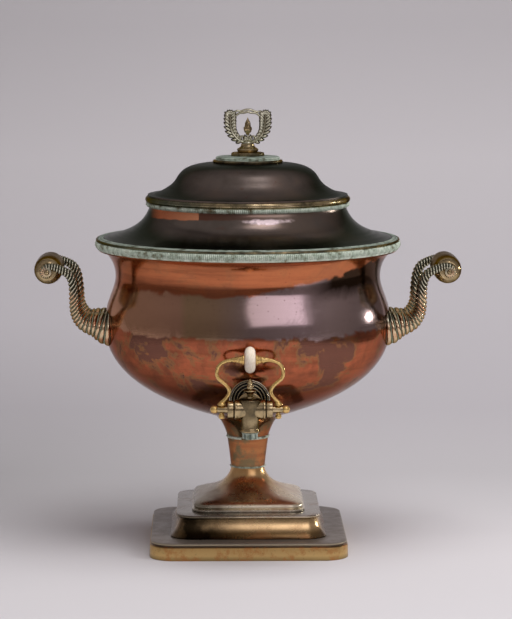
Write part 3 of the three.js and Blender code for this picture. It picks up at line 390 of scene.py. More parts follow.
swell = bend((53.8, 42.6), (2.4, 4), (47, 51.3), (-4.5, 1.7), 10)
swell += bend((47, 51.3), (-14, 6.2), (16.5, 77), (-3, 15.5), 22)[1:]
cushion_section = rounded([(56, 39.6, 0.3), (56, 42.3, 0.5), (54.2, 42.4)]) + [
    Vector(p) for p in swell] + [
    Vector(p) for p in [(4.4, 77), (4.4, 74), (12, 74), (20, 66), (40, 50), (50, 47), (52, 39.6)]]
bm = bmesh.new()
lofted(bm, [square_ring(x, cushion_corner(x), z, 14) for x, z in cushion_section], closed=True)
placed("cushion", bm, bronze, "urn", "foot_cushion")

# ---------------------------------------------------------------- Stem
# Two cones of spun copper meet at a soldered brass band. The solder lines have gone pale
# and green, and green has crept a little way over the copper beside them.


def turned(section, steps, axis="Z"):
    """A closed section, or one that ends on the axis, spun full circle about an axis."""
    bm = bmesh.new()
    spots = [bm.verts.new((max(x, 0), 0, z)) for x, z in section]
    for i, spot in enumerate(spots):
        if i or not (section[0][0] <= 0 and section[-1][0] <= 0):
            bm.edges.new((spots[i - 1], spot))
    # An eighth is spun and doubled three times, which is quicker than a full spin.
    bmesh.ops.spin(bm, geom=bm.verts[:] + bm.edges[:], cent=(0, 0, 0), axis=(0, 0, 1),
                   angle=math.tau / 8, steps=steps // 8)
    for part in (8, 4, 2):
        twin = bmesh.ops.duplicate(bm, geom=bm.verts[:] + bm.edges[:] + bm.faces[:])["geom"]
        bmesh.ops.rotate(bm, cent=(0, 0, 0), matrix=Matrix.Rotation(math.tau / part, 3, "Z"),
                         verts=[v for v in twin if isinstance(v, bmesh.types.BMVert)])
    bmesh.ops.remove_doubles(bm, verts=bm.verts, dist=0.0005)
    if axis != "Z":
        turn = Matrix.Rotation(math.radians(90), 4, "Y") if axis == "X" else \
            Matrix.Rotation(math.radians(-90), 4, "X")
        bmesh.ops.transform(bm, matrix=turn, verts=bm.verts)
    return bm


# Spun sheet copper, lacquered by age: worn orange where it is wiped, purple brown between,
# with blotches whose rims have dried to gold. Its mirror is barely rippled by the hammer.
copper, tree, place = finish("aged spun copper")
x, y, z = add("SeparateXYZ", place).node.outputs
blot = add("TexNoise", place, Scale=24, Detail=9, Roughness=0.66, Distortion=0.6)
mottle = add("TexNoise", place, Scale=58, Detail=8, Roughness=0.7)
wavy = add("Math", blot, 0.026, z, operation="MULTIPLY_ADD")
height = add("MapRange", wavy, 0.108, 0.333)
tone = add("ValToRGB", height, stops=[
    (0, "#b87c50"), (0.12, "#a9683f"), (0.2, "#6f4538"), (0.27, "#a05a40"), (0.42, "#bc6a4a"),
    (0.62, "#bd6c4e"), (0.74, "#a9603f"), (0.8, "#c8774f"), (1, "#d6885a")])
streaks = add("Mapping", place, Scale=(9, 9, 150))
wipe_marks_and_painted_light = add("TexNoise", streaks, Scale=1, Detail=6, Roughness=0.6)
streak = add("ValToRGB", wipe_marks_and_painted_light, stops=[(0.46, 0), (0.62, 0.65)])
wisps = add("Mix", streak, tone, "#96583c")
both = add("Math", mottle, 0.35, blot, operation="MULTIPLY_ADD")
for centre, radii, more in (((0.060, -0.118, 0.211), (0.046, 0.08, 0.026), 0.11),
                            ((-0.088, -0.098, 0.205), (0.042, 0.09, 0.040), 0.17)):
    near = add("Mapping", place, Location=tuple(-c / r for c, r in zip(centre, radii)),
               Scale=tuple(1 / r for r in radii))
    spot = add("TexGradient", near, gradient_type="SPHERICAL", give="Fac")
    both = add("Math", spot, more, both, operation="MULTIPLY_ADD")
belt = add("ValToRGB", height, stops=[(0.25, 0), (0.36, 1), (0.62, 1), (0.74, 0.25)])
patch = add("ValToRGB", both, stops=[(0.712, 0), (0.765, 0.9)])
patch_in = add("Math", patch, belt, operation="MULTIPLY")
right = add("Math", x, 0, operation="MAXIMUM")
slope = add("Math", right, -0.22, wavy, operation="MULTIPLY_ADD")
above = add("MapRange", slope, 0.2745, 0.2775, 1, 0)
below = add("MapRange", wavy, 0.235, 0.2375)
band = add("Math", above, below, operation="MULTIPLY")
smoky = add("TexNoise", place, Scale=42, Detail=7, Roughness=0.68)
smoke = add("ValToRGB", smoky, stops=[(0.44, 0), (0.66, 0.8)])
wash = add("Math", smoke, belt, operation="MULTIPLY")
clouded = add("Mix", wash, wisps, "#7a4c3a")
stained = add("Mix", patch_in, clouded, "#785448")
across = add("MapRange", x, -0.15, 0.15)
film = add("ValToRGB", across, stops=[
    (0.12, "#d6a484"), (0.275, "#c0937a"), (0.3, "#b0906f"), (0.39, "#aa8b70"), (0.5, "#9f8a86"),
    (0.67, "#bda5a6"), (0.75, "#c6aeab"), (0.81, "#baa39f"), (0.87, "#a08d8b")])
# Painted shade: the band's upper right is darkened nearly black.
high = add("MapRange", wavy, 0.268, 0.283)
far_right = add("MapRange", x, 0.05, 0.08)
painted_shade_upper_right = add("Math", high, far_right, operation="MULTIPLY")
shaded = add("Mix", painted_shade_upper_right, film, "#382a20")
filmed = add("Mix", band, stained, shaded)
rim = add("ValToRGB", both, stops=[(0.69, 0), (0.714, 0.55), (0.732, 0.55), (0.77, 0)])
clear = add("Math", belt, band, operation="SUBTRACT", use_clamp=True)
rim_in = add("Math", rim, clear, operation="MULTIPLY")
golden = add("Mix", rim_in, filmed, "#9c7850")
fleck = add("TexVoronoi", place, Scale=170, Randomness=1)
pit = add("ValToRGB", fleck, stops=[(0.07, 0.4), (0.14, 0)])
spotted = add("Mix", pit, golden, "#5c3a30")
low = add("MapRange", z, 0.126, 0.132, 1, 0)
moss = add("ValToRGB", smoky, stops=[(0.46, 0), (0.56, 0.85)])
mossy = add("Math", moss, low, operation="MULTIPLY")
stem_green = add("Mix", mossy, spotted, "#756c50")
rings = add("Mapping", place, Scale=(6, 6, 420))
spun = add("TexNoise", rings, Scale=1, Detail=3)
gloss = add("MapRange", spun, 0.3, 0.7, 0.11, 0.17)
dull = add("Math", patch_in, 0.12, gloss, operation="MULTIPLY_ADD")
dents = add("TexNoise", place, Scale=28, Detail=1)
ripple = add("Bump", Height=dents, Strength=0.35, Distance=0.0008)
lines = add("Bump", Height=spun, Normal=ripple, Strength=0.05, Distance=0.0002)
surface(base_color=stem_green, roughness=dull, normal=lines, metallic=1, specular_tint="#d6c9c3")

# Soldered brass gone green: pale verdigris in the hollows, gold on the ridges that are
# touched. The groove attribute says how deep in a cut line a point lies.
verdigris, tree, place = finish("brass with verdigris")
groove = add("Attribute", attribute_name="groove", give="Fac")
patchy = add("TexNoise", place, Scale=110, Detail=6, Roughness=0.7)
green = add("ValToRGB", patchy, stops=[
    (0.3, "#788472"), (0.46, "#bccbb8"), (0.6, "#e6f0e0"), (0.72, "#a8ae94")])
ridges = add("ValToRGB", patchy, stops=[(0.3, "#75654a"), (0.55, "#a59468"), (0.75, "#7c7a5e")])
gone = add("ValToRGB", patchy, stops=[(0.32, 0), (0.46, 1)])
mixed = add("Mix", gone, ridges, green)
deep = add("Mix", groove, mixed, "#414d45")
metal = add("MapRange", gone, 0, 1, 1, 0.25)
gloss = add("MapRange", gone, 0, 1, 0.32, 0.68)
crust = add("Bump", Height=patchy, Strength=0.4, Distance=0.0003)
surface(base_color=deep, metallic=metal, roughness=gloss, normal=crust)


def refinished(piece, second, where):
    """Gives a second finish to the faces for which a rule holds. The rule is told a face's
    height, its place out from the stem, and the way that it faces."""
    piece.data.materials.append(second)
    for face in piece.data.polygons:
        out = Vector((face.center.x, face.center.y - stem_y, 0))
        if where(face.center.z, out, face.normal):
            face.material_index = 1


wall = 1.6
lower = bend((17.1, 78.6), (0.8, 9), (20.6, 106.5), (1.4, 9), 14)
lower_section = sheet([(17.9, 77), (18.1, 78.0)] + lower, wall)
bm = turned(rounded([(v.x, v.y) for v in lower_section]), 96)
cone = placed("lower_cone", bm, copper, "urn", "stem_lower")
refinished(cone, verdigris, lambda height, out, facing: height < 0.0786)

bm = turned(rounded([
    (17.5, 106.5), (20.9, 106.5, 0.3), (21.7, 107.2, 0.5), (21.7, 108.6, 0.5), (20.9, 109.3, 0.3),
    (17.5, 109.3)]), 96)
placed("stem_band", bm, verdigris, "urn", "stem_band")

upper = bend((20.9, 109.4), (3.2, 9.6), (34, 130), (7, 4.1), 18)
bm = turned([(v.x, v.y) for v in sheet(upper, wall)], 96)
placed("upper_cone", bm, copper, "urn", "stem_upper")

# ---------------------------------------------------------------- Tie bolt
# A steel bolt runs down the stem from the cushion's neck, with a washer and a hexagon nut
# that are seen from below through the slab.

# Turned mild steel, never polished: grey, with a dull shine and brown where it has rusted.
steel, tree, place = finish("dull turned steel")
smear = add("TexNoise", place, Scale=180, Detail=5, Roughness=0.6)
tone = add("ValToRGB", smear, stops=[(0.35, "#8c8983"), (0.6, "#77716a"), (0.72, "#6b4c38")])
gloss = add("MapRange", smear, 0.3, 0.7, 0.3, 0.55)
surface(base_color=tone, roughness=gloss, metallic=1)

bm = turned(rounded([
    (0, 23.1), (3.4, 23.1, 0.3), (4, 24), (4, 80.3), (8, 80.3, 0.3), (8, 83.7, 0.8),
    (0, 83.7)]), 32)
placed("tie_bolt.new", bm, steel, "urn", "tie_bolt")
bm = turned(rounded([(4.3, 33.3), (16, 33.3, 0.4), (16, 35.7, 0.4), (4.3, 35.7)]), 48)
placed("tie_washer.new", bm, steel, "urn", "tie_washer")


def hexagon(size, hole, low, high, bevel):
    """A six-sided nut between two heights, its hole given as a share of its size."""
    levels = ((hole, low), (0.9, low), (1, low + bevel), (1, high - bevel), (0.9, high),
              (hole, high))
    corners = [(math.cos(a), math.sin(a)) for a in (math.radians(60 * i) for i in range(6))]
    bm = bmesh.new()
    lofted(bm, [[Vector((size * s * x, size * s * y, z)) for x, y in corners]
                for s, z in levels], closed=True)
    return bm


placed("tie_nut.new", hexagon(7.5, 0.55, 26.5, 33, 0.7), steel, "urn", "tie_nut")

# ---------------------------------------------------------------- Bowl
# Spun from one sheet of copper: round belly, drawn-in neck and a flared lip turned out flat.
# The inside is wiped with tin, as a vessel for drinking water is.

# Tin wiped on hot with a pad: soft grey, with faint level wipe marks and a blurred shine.
tin, tree, place = finish("wiped tin lining")
wipe_marks_and_painted_light = add("Mapping", place, Scale=(40, 40, 160))
smear = add("TexNoise", wipe_marks_and_painted_light, Scale=1, Detail=5, Roughness=0.6)
tone = add("ValToRGB", smear, stops=[(0.3, "#6f6a66"), (0.5, "#8f8a85"), (0.7, "#7a6a5e")])
gloss = add("MapRange", smear, 0.3, 0.7, 0.35, 0.55)
flow = add("Bump", Height=smear, Strength=0.25, Distance=0.0005)
surface(base_color=tone, roughness=gloss, normal=flow, metallic=1)

belly = bend((34, 130), (55.9, 16.9), (142.8, 222), (0, 50.5), 40)
belly += bend((142.8, 222), (0, 21.9), (131.8, 270), (0, 13.6), 18)[1:]
belly += bend((131.8, 270), (0, 8), (144, 296), (9.5, 8), 14)[1:]


floor_reach = 0.034


def lined(piece, way_up=1):
    """Tins the faces that look in towards the stem, and a floor (1) or a crown's underside
    (-1) over the socket."""
    def inside(height, out, facing):
        return facing.dot(out.normalized()) < -0.05 or (
            out.length < floor_reach and facing.z * way_up > 0.5)

    refinished(piece, tin, inside)


bm = turned([(v.x, v.y) for v in sheet([(0, 130)] + belly + [(148.5, 296)], wall)], 160)
bowl = placed("bowl.new", bm, copper, "urn", "bowl")
lined(bowl)


def belly_radius(z):
    """The bowl's outer radius at a height."""
    for (r0, z0), (r1, z1) in zip(belly, belly[1:]):
        if z0 <= z <= z1:
            return r0 + (r1 - r0) * (z - z0) / (z1 - z0)
    return 0


def seated(bm, depth=0.5):
    """Draws what would run on inside the bowl back into the thickness of its wall."""
    for v in bm.verts:
        wall = belly_radius(v.co.z) - depth
        reach = math.hypot(v.co.x, v.co.y)
        if 0 < reach < wall:
            v.co.x *= wall / reach
            v.co.y *= wall / reach


# ---------------------------------------------------------------- Shoulder
# A spun ring of copper that closes the bowl down to the lid's mouth. It is browned nearly
# black, with a low sheen and fine turning lines, a rubbed orange patch near the collar, and a
# pale mauve streak of painted reflection across its front.

# Copper browned with oxides over heat: a thin purple-black film whose shine is low. Where it is
# seen aslant its colour is darkened and turned grey green, a painted shade and painted reflection.
dark, tree, place = finish("browned copper with painted light")
x, y, z = add("SeparateXYZ", place).node.outputs
film = add("TexNoise", place, Scale=20, Detail=5, Roughness=0.6)
tone = add("ValToRGB", film, stops=[(0.3, "#675e54"), (0.5, "#80756d"), (0.7, "#8f7d70")])
worn = add("TexNoise", place, Scale=70, Detail=8, Roughness=0.72)
rubbed = add("ValToRGB", worn, stops=[(0.6, 0), (0.68, 0.5)])
browned = add("Mix", rubbed, tone, "#7a5a4c")
# Painted shade and painted reflection: darker and grey green where the surface is seen aslant.
turn = add("LayerWeight", Blend=0.5, give="Facing")
grazing_shade = add("ValToRGB", turn, stops=[
    (0.2, 1), (0.36, 0.92), (0.52, 0.62), (0.66, "#8d9896"), (0.85, "#8a9a9c")])
painted_edge_shade = add("Mix", 1, browned, grazing_shade, blend_type="MULTIPLY")
left = add("MapRange", x, -0.096, -0.086)
stop = add("Math", x, -0.0484, operation="LESS_THAN")
ragged = add("Math", worn, 0.004, z, operation="MULTIPLY_ADD")
lean = add("Math", x, -0.03, ragged, operation="MULTIPLY_ADD")
above = add("MapRange", lean, 0.335, 0.3358)
front = add("Math", y, 0, operation="LESS_THAN")
wide = add("Math", left, stop, operation="MULTIPLY")
high = add("Math", above, front, operation="MULTIPLY")
below_lid = add("Math", z, 0.3455, operation="LESS_THAN")
edged = add("Math", wide, high, operation="MULTIPLY")
bare = add("Math", edged, below_lid, operation="MULTIPLY")
warm = add("MapRange", x, -0.092, -0.05)
orange = add("Mix", warm, "#d67c56", "#ffb286")
fade = add("MapRange", x, -0.05, 0.03, 0.75, 0)
faded = add("Math", fade, left, operation="MULTIPLY")
ruddy = add("Math", faded, high, operation="MULTIPLY")
collar = add("Math", ruddy, below_lid, operation="MULTIPLY")
ruddled = add("Mix", collar, painted_edge_shade, "#7a4630")
patched = add("Mix", bare, ruddled, orange)
# Painted reflection: a pale mauve streak across the front of the shoulder, with little metal in
# it.
near = add("Mapping", place, Location=(-0.375, 1, -73.7), Scale=(20.8, 10, 222.2))
streak = add("TexGradient", near, gradient_type="SPHERICAL", give="Fac")
broken_painted_streak = add("Math", worn, 1.6, streak, operation="MULTIPLY_ADD")
wipe_marks_and_painted_light = add("MapRange", broken_painted_streak, 1.2, 1.6)
with_painted_streak = add("Mix", wipe_marks_and_painted_light, patched, "#e2cdd0")
metal = add("MapRange", wipe_marks_and_painted_light, 0, 1, 1, 0.15)
rings = add("Mapping", place, Scale=(8, 8, 700))
spun = add("TexNoise", rings, Scale=1, Detail=3)
gloss = add("MapRange", spun, 0.3, 0.7, 0.2, 0.27)
matt = add("MapRange", z, 0.345, 0.352, 0, 0.14)
satin = add("Math", gloss, matt, operation="ADD")
lines = add("Bump", Height=spun, Strength=0.025, Distance=0.0002)
surface(base_color=with_painted_streak, metallic=metal, roughness=satin, normal=lines, specular_tint="#b0b4ae")

neck = bend((143, 308.4), (-27.9, 5.8), (98, 337.6), (-5.1, 14.2), 26)
neck = [(148.5, 299.2), (143, 299.2)] + neck + [(98, 343.1)]
bm = turned([(v.x, v.y) for v in sheet(neck, wall)], 160)
shoulder = placed("shoulder.new", bm, dark, "urn", "shoulder")
lined(shoulder)

# ---------------------------------------------------------------- Border
# A cast brass ring covers the joint of bowl and shoulder. Fine upright cuts are milled round
# its face, with a gold bead and close lines above them, and verdigris fills the cuts.

# Turned and polished brass, browned in patches: yellow gold with a soft mirror. It is darkened
# where the groove attribute marks it and where it is seen aslant, both painted shade.
brass, tree, place = finish("polished old brass with painted shade")
groove = add("Attribute", attribute_name="groove", give="Fac")
cloud = add("TexNoise", place, Scale=90, Detail=5, Roughness=0.65)
tone = add("ValToRGB", cloud, stops=[
    (0.28, "#8d8166"), (0.46, "#c0aa80"), (0.62, "#dfc99c"), (0.78, "#a8926e")])
stain = add("TexNoise", place, Scale=140, Detail=5, Roughness=0.7)
brown = add("ValToRGB", stain, stops=[(0.52, 0), (0.7, 0.4)])
aged = add("Mix", brown, tone, "#5f4a30")
# Painted shade where the groove attribute marks a piece.
painted_corner_shade = add("Mix", groove, aged, "#2a251e")
# Painted shade where the surface is seen aslant.
turn = add("LayerWeight", Blend=0.5, give="Facing")
grazing_shade = add("ValToRGB", turn, stops=[(0.25, 1), (0.6, 0.55), (0.9, 0.25)])
shadowed = add("Mix", 1, painted_corner_shade, grazing_shade, blend_type="MULTIPLY")
gloss = add("MapRange", stain, 0.3, 0.7, 0.14, 0.28)
skin = add("Bump", Height=stain, Strength=0.06, Distance=0.0002)
surface(base_color=shadowed, roughness=gloss, normal=skin, metallic=1, specular_tint="#9c8a68")

# Brass that is wiped only where the cloth happens to catch it: olive brown, with a few
# lengths of gold along the crown of the moulding. Towards the left it is greyed green, a painted
# shade.
olive, tree, place = finish("olive brass")
cloud = add("TexNoise", place, Scale=34, Detail=5, Roughness=0.66)
tone = add("ValToRGB", cloud, stops=[
    (0.36, "#47443a"), (0.46, "#7c7258"), (0.56, "#bba880"), (0.66, "#dac8a2"), (0.76, "#8d8163")])
gloss = add("MapRange", cloud, 0.4, 0.6, 0.38, 0.18)
# Painted shade: greyed green towards the left.
x = add("SeparateXYZ", place, give="X")
left = add("MapRange", x, -0.07, -0.03, 0.8, 0)
painted_shade_greened = add("Mix", left, tone, "#6b7262")
surface(base_color=painted_shade_greened, roughness=gloss, metallic=1, specular_tint="#9a8c6c")


def milled(bm, teeth, low, high, radius, depth):
    """Sinks every other column of a turned ring, between two heights and past a radius."""
    layer = bm.verts.layers.float.new("groove")
    for v in bm.verts:
        reach = math.hypot(v.co.x, v.co.y)
        column = round(math.atan2(v.co.y, v.co.x) / math.tau * teeth * 2)
        if low < v.co.z < high and reach > radius and column % 2:
            v.co.x *= (reach - depth) / reach
            v.co.y *= (reach - depth) / reach
            v[layer] = 0.5
    return layer


border_section = rounded([
    (149.0, 297.3), (149.9, 297.3, 0.3), (150.6, 298.9, 0.3), (151.4, 299.4), (151.9, 300.6),
    (152, 302.2), (151.8, 303.8), (151.1, 304.9), (150.2, 305.2, 0.2), (150.7, 305.6),
    (151.0, 306.3), (150.7, 307.1), (150.0, 307.4), (149.5, 307.2, 0.2), (149.1, 307.8, 0.2),
    (148.3, 307.5, 0.2), (147.7, 308.1, 0.2), (146.9, 307.7, 0.2), (146.2, 308.4, 0.2),
    (145.3, 307.9, 0.2), (144.5, 308.6, 0.3), (143.3, 308.6, 0.3), (143.3, 299.3), (149.0, 299.3)])
bm = turned(border_section, 1008)
layer = milled(bm, teeth=504, low=299.2, high=305.0, radius=150.9, depth=0.75)
for v in bm.verts:
    reach = math.hypot(v.co.x, v.co.y)
    if v.co.z > 307 and reach < 150.4:
        v[layer] = 1.0 if reach > 149.3 or abs((reach - 143.9) % 1.6 - 0.8) > 0.45 else 0.6
border = placed("rim_border.new", bm, verdigris, "urn", "rim_border")
refinished(border, olive,
           lambda height, out, facing: height > 0.3051 and out.length > 0.1493)

# ---------------------------------------------------------------- Lid
# A spun dome of browned copper on a brass ring. The ring's bead is wiped now and then, the band
# under it is milled and green, and an inner bezel drops into the mouth.

dome = [(99.4, 350.8)] + bend((94.1, 350.8), (-6, 2.3), (73, 363.6), (-6, 7), 16)
dome += bend((73, 363.6), (-4.5, 5.3), (34, 381.9), (-33.1, 0), 22)[1:] + [(1.9, 381.9)]
bm = turned([(v.x, v.y) for v in sheet(dome, wall)], 160)
lid = placed("lid_dome.new", bm, dark, "lid", "lid_dome")
lined(lid, -1)

ring_section = rounded([
    (98.5, 339.1), (99.9, 339.1, 0.3), (100.7, 339.7), (101.3, 340.8), (101.3, 342.0),
    (100.8, 343.0), (100.0, 343.4, 0.2)] + bend((100.6, 343.9), (1.5, 0.9), (101.6, 347.6),
                                                (-0.3, 1.0), 8) + [
    (100.2, 349.0, 0.6), (99.3, 349.2, 0.2), (92, 349.2), (92, 343.4), (98.5, 343.4)])
bm = turned(ring_section, 672)
milled(bm, teeth=336, low=339.3, high=343.2, radius=100.4, depth=0.6)
ring = placed("lid_ring", bm, olive, "lid", "lid_rim")
refinished(ring, verdigris,
           lambda height, out, facing: height < 0.3434 and out.length > 0.0995)

bm = turned(rounded([(93.4, 330.6, 0.4), (95, 330.6, 0.4), (95, 343.4), (93.4, 343.4)]), 128)
placed("bezel", bm, brass, "lid", "lid_bezel")

# ---------------------------------------------------------------- Finial's foot
# A brass plate with a bead below and milled leafwork above, and a small turned socle on it.
# Both are held by the stud that also holds the wreath.

plate_section = rounded([
    (2, 382.0), (34.1, 382.0, 0.3), (34.7, 382.9), (34.7, 384.0), (34.0, 384.9),
    (32.0, 385.3, 0.2), (31.6, 385.7), (31.9, 386.5), (31.6, 387.5), (30.2, 388.3, 0.4),
    (24, 388.8, 0.4), (2, 388.8)])
bm = turned(plate_section, 304)
layer = milled(bm, teeth=152, low=385.4, high=388.0, radius=31.3, depth=0.5)
for v in bm.verts:
    v[layer] = max(v[layer], 0.75 if v.co.z > 388.1 else 0.3)
plate = placed("finial_plate.new", bm, verdigris, "lid", "finial_plate")
refinished(plate, olive, lambda height, out, facing: height < 0.3851)
bm = turned(rounded([
    (2, 388.8), (16.4, 388.8, 0.3), (16.4, 391.6, 0.5), (15.2, 392.4, 0.4), (9.3, 392.9, 0.3),
    (10.2, 393.6), (10.7, 394.8), (10.1, 396.0), (8.9, 396.6, 0.2), (6.8, 398.4, 0.6),
    (6.4, 399.9, 0.5), (6.7, 400.9, 0.2), (2, 400.9)]), 64)
placed("socle", bm, olive, "lid", "finial_socle")

# ---------------------------------------------------------------- Wreath
# A cast laurel wreath: two branches set with pairs of leaves, tied by a waved ribbon across
# their tips, with two scrolls and a leaf cup at the foot. A small urn with a flame stands in it.


def through(points, steps):
    """A smooth curve through points of any size, with equal steps between each two."""
    points = [Vector(p) for p in points]
    ends = [points[0] * 2 - points[1]] + points + [points[-1] * 2 - points[-2]]
    curve = []
    for i in range(1, len(ends) - 2):
        a, b, c, d = ends[i - 1:i + 3]
        for k in range(steps):
            t = k / steps
            curve.append(0.5 * (2 * b + (c - a) * t + (2 * a - 5 * b + 4 * c - d) * t * t
                                + (3 * b - a - 3 * c + d) * t ** 3))
    return curve + [points[-1]]


def rod(bm, path, sizes, sides=10):
    """An oval rod along a path that lies upright, its second size from front to back."""
    flat = Vector((0, 1, 0))
    rings = []
    for i, spot in enumerate(path):
        ahead = (path[min(i + 1, len(path) - 1)] - path[max(i - 1, 0)]).normalized()
        across = ahead.cross(flat).normalized()
        half = sizes[i]
        rings.append([spot + across * half[0] * math.cos(a) + flat * half[1] * math.sin(a)
                      for a in (math.tau * k / sides for k in range(sides))])
    lofted(bm, rings)


def leaf(bm, base, way, length, width, thick):
    """A pointed leaf: a ball drawn out and pinched at both ends, with painted shade towards its
    rim and a painted highlight on its faces.
    """
    verts = bmesh.ops.create_uvsphere(bm, u_segments=12, v_segments=9, radius=1)["verts"]
    turn = math.atan2(way[0], way[1])
    rim = bm.verts.layers.float["groove"]
    for v in verts:
        # Painted shade towards the rim, painted highlight on the faces.
        v[rim] = 0.95 * (1 - min(1, abs(v.co.y) * 1.25)) + 0.12 * abs(v.co.z)
        pinch = (1 - v.co.z ** 2) ** 0.12
        u, w, t = v.co.x * width / 2 * pinch, v.co.y * thick / 2 * pinch, (v.co.z + 1) * length / 2
        v.co = Vector((base[0] + u * math.cos(turn) + t * math.sin(turn), base[1] + w,
                       base[2] - u * math.sin(turn) + t * math.cos(turn)))


def joined(bm, part):
    """Moves the whole of a part into a piece."""
    mesh = bpy.data.meshes.new("part")
    part.to_mesh(mesh)
    part.free()
    bm.from_mesh(mesh)
    bpy.data.meshes.remove(mesh)


# Cast brass left as it came from the chaser: gold on the ridges and a pale green bloom down their
# flanks.
# Its upper, inner side is near black, partly patina and partly painted shade, with pale lines on
# the crests.
cast, tree, place = finish("chased brass, green in the cuts")
groove = add("Attribute", attribute_name="groove", give="Fac")
cloud = add("TexNoise", place, Scale=60, Detail=5, Roughness=0.65)
tone = add("ValToRGB", cloud, stops=[(0.32, "#b2a27c"), (0.48, "#eed6ae"), (0.66, "#dea27c")])
flank = add("ValToRGB", groove, stops=[(0.28, 0), (0.5, 1)])
shut = add("Mix", flank, tone, "#837860")
bottom = add("ValToRGB", groove, stops=[(0.74, 0), (0.84, 1)])
bloom = add("Mix", bottom, shut, "#a9b8a2")
# Patina and painted shade on the upper, inner side, with pale lines left on the crests; on the
# wreath this paints shade at the leaf rims and a highlight on their faces.
crest = add("ValToRGB", groove, stops=[(0.04, 1), (0.22, 0)])
patina_and_painted_shade_side = add("Mix", crest, "#3a3c30", "#dde0c8")
x, y, z = add("SeparateXYZ", place).node.outputs
out = add("Math", x, operation="ABSOLUTE")
over = add("Math", out, -0.9, z, operation="MULTIPLY_ADD")
upper = add("MapRange", over, 0.0975, 0.1045, 0, 0.85)
cast_tone = add("Mix", upper, bloom, patina_and_painted_shade_side)
metal = add("MapRange", bottom, 0, 1, 1, 0.3)
gloss = add("MapRange", bottom, 0, 1, 0.2, 0.6)
surface(base_color=cast_tone, metallic=metal, roughness=gloss, specular_tint="#a89878")

foot = 400.9
bm = bmesh.new()
bm.verts.layers.float.new("groove")
for side in (-1, 1):
    spine = through([(side * x, 0, foot + z) for x, z in (
        (3.6, 1.2), (8.9, 3.6), (13.4, 8.2), (15.9, 13.4), (17.0, 19.4), (17.4, 25.4),
        (17.6, 31.0))], 9)
    tip = len(spine) - 1
    rod(bm, spine, [(1.6 - 0.8 * i / tip, 2.6 - 1.0 * i / tip) for i in range(len(spine))])
    for i in range(9):
        at = spine[5 + i * 5]
        ahead = (spine[min(7 + i * 5, tip)] - spine[3 + i * 5]).normalized()
        for turn, long in ((0.64, 10.4 - 0.16 * (i - 5) ** 2), (-0.7, 6.9 + 1.1 * min(i, 3))):
            c, s = math.cos(turn * side), math.sin(turn * side)
            way = (ahead.x * c + ahead.z * s, ahead.z * c - ahead.x * s)
            leaf(bm, at - ahead * 0.6, way, long, width=3.5, thick=4.0)
    for turn, long in ((0.8, 6.0), (0.42, 6.6), (0.05, 6.4), (-0.35, 6.4), (-0.75, 6.6)):
        way = (side * math.sin(turn), math.cos(turn))
        leaf(bm, spine[-1] - Vector((0, 0, 3.4)), way, long, width=2.9, thick=3.6)
    curl = [Vector((side * (5.2 + (3.2 - 0.36 * k) * math.cos(a)), 0,
                    foot + 4.9 + (3.2 - 0.36 * k) * math.sin(a)))
            for k, a in ((j / 3, math.radians(-60 + 30 * j)) for j in range(17))]
    rod(bm, curl, [(1.15 - 0.03 * i, 2.5 - 0.03 * i) for i in range(17)])
ribbon = through([(x, 0, foot + z) for x, z in (
    (-13.5, 30.6), (-10.5, 32.6), (-7, 32.0), (-3.5, 33.2), (0, 33.8), (3.5, 33.4), (7, 32.0),
    (10.5, 31.6), (13.5, 32.2))], 4)
rod(bm, ribbon, [(1.0, 1.9)] * len(ribbon))
knot = through([(x, 0, foot + z) for x, z in (
    (-12, 27.5), (-8, 30.2), (-3, 30.6), (0, 31.4), (3, 30.6), (8, 30.2), (12, 27.5))], 5)
rod(bm, knot, [(1.1, 1.7)] * len(knot))
for lean, long in ((-0.62, 7.4), (-0.3, 9.2), (0, 10.4), (0.3, 9.2), (0.62, 7.4)):
    way = (math.sin(lean), math.cos(lean))
    leaf(bm, (way[0] * 1.2, 0, foot + 0.4), way, long, width=3.0, thick=4.6)
joined(bm, turned(rounded([(0, 400.95), (5.6, 400.95, 0.4), (5.9, 402.2, 0.6),
                           (4.4, 403.6, 0.4), (0, 403.8)]), 32))
placed("wreath", bm, cast, "lid", "finial_wreath", sharp=60)

bm = turned(rounded([
    (0, 409.6), (1.7, 409.6, 0.3), (2.0, 411.0), (3.6, 412.8), (4.3, 415.6), (4.1, 416.9),
    (2.9, 418.0, 0.2), (3.3, 418.7, 0.3)] + bend((2.7, 419.2), (0.6, 2.2), (0, 427.6),
                                                 (-0.5, 3.4), 10)), 32)
for v in bm.verts:
    if v.co.z > 419.5:
        flute = 1 - 0.16 * math.cos(6 * math.atan2(v.co.y, v.co.x) + (v.co.z - 419) * 0.5)
        v.co.x *= flute
        v.co.y *= flute
placed("flame", bm, brass, "lid", "finial_flame")

bm = turned(rounded([(0, 372.0), (1.3, 372.0), (1.6, 372.5), (1.6, 403.3), (0, 403.3)]), 24)
placed("stud", bm, steel, "lid", "finial_stud")
placed("stud_nut", hexagon(5, 0.38, 375, 380, 0.6), brass, "lid", "finial_nut")

# ---------------------------------------------------------------- Handles
# Each handle is a brass casting riveted to the belly: one reeded root that parts into two
# arms, each rolled into a scroll round the end of a barrel grip. The reeds stand upright at
# the root, lean over as the arms rise, and close up round the scrolls.

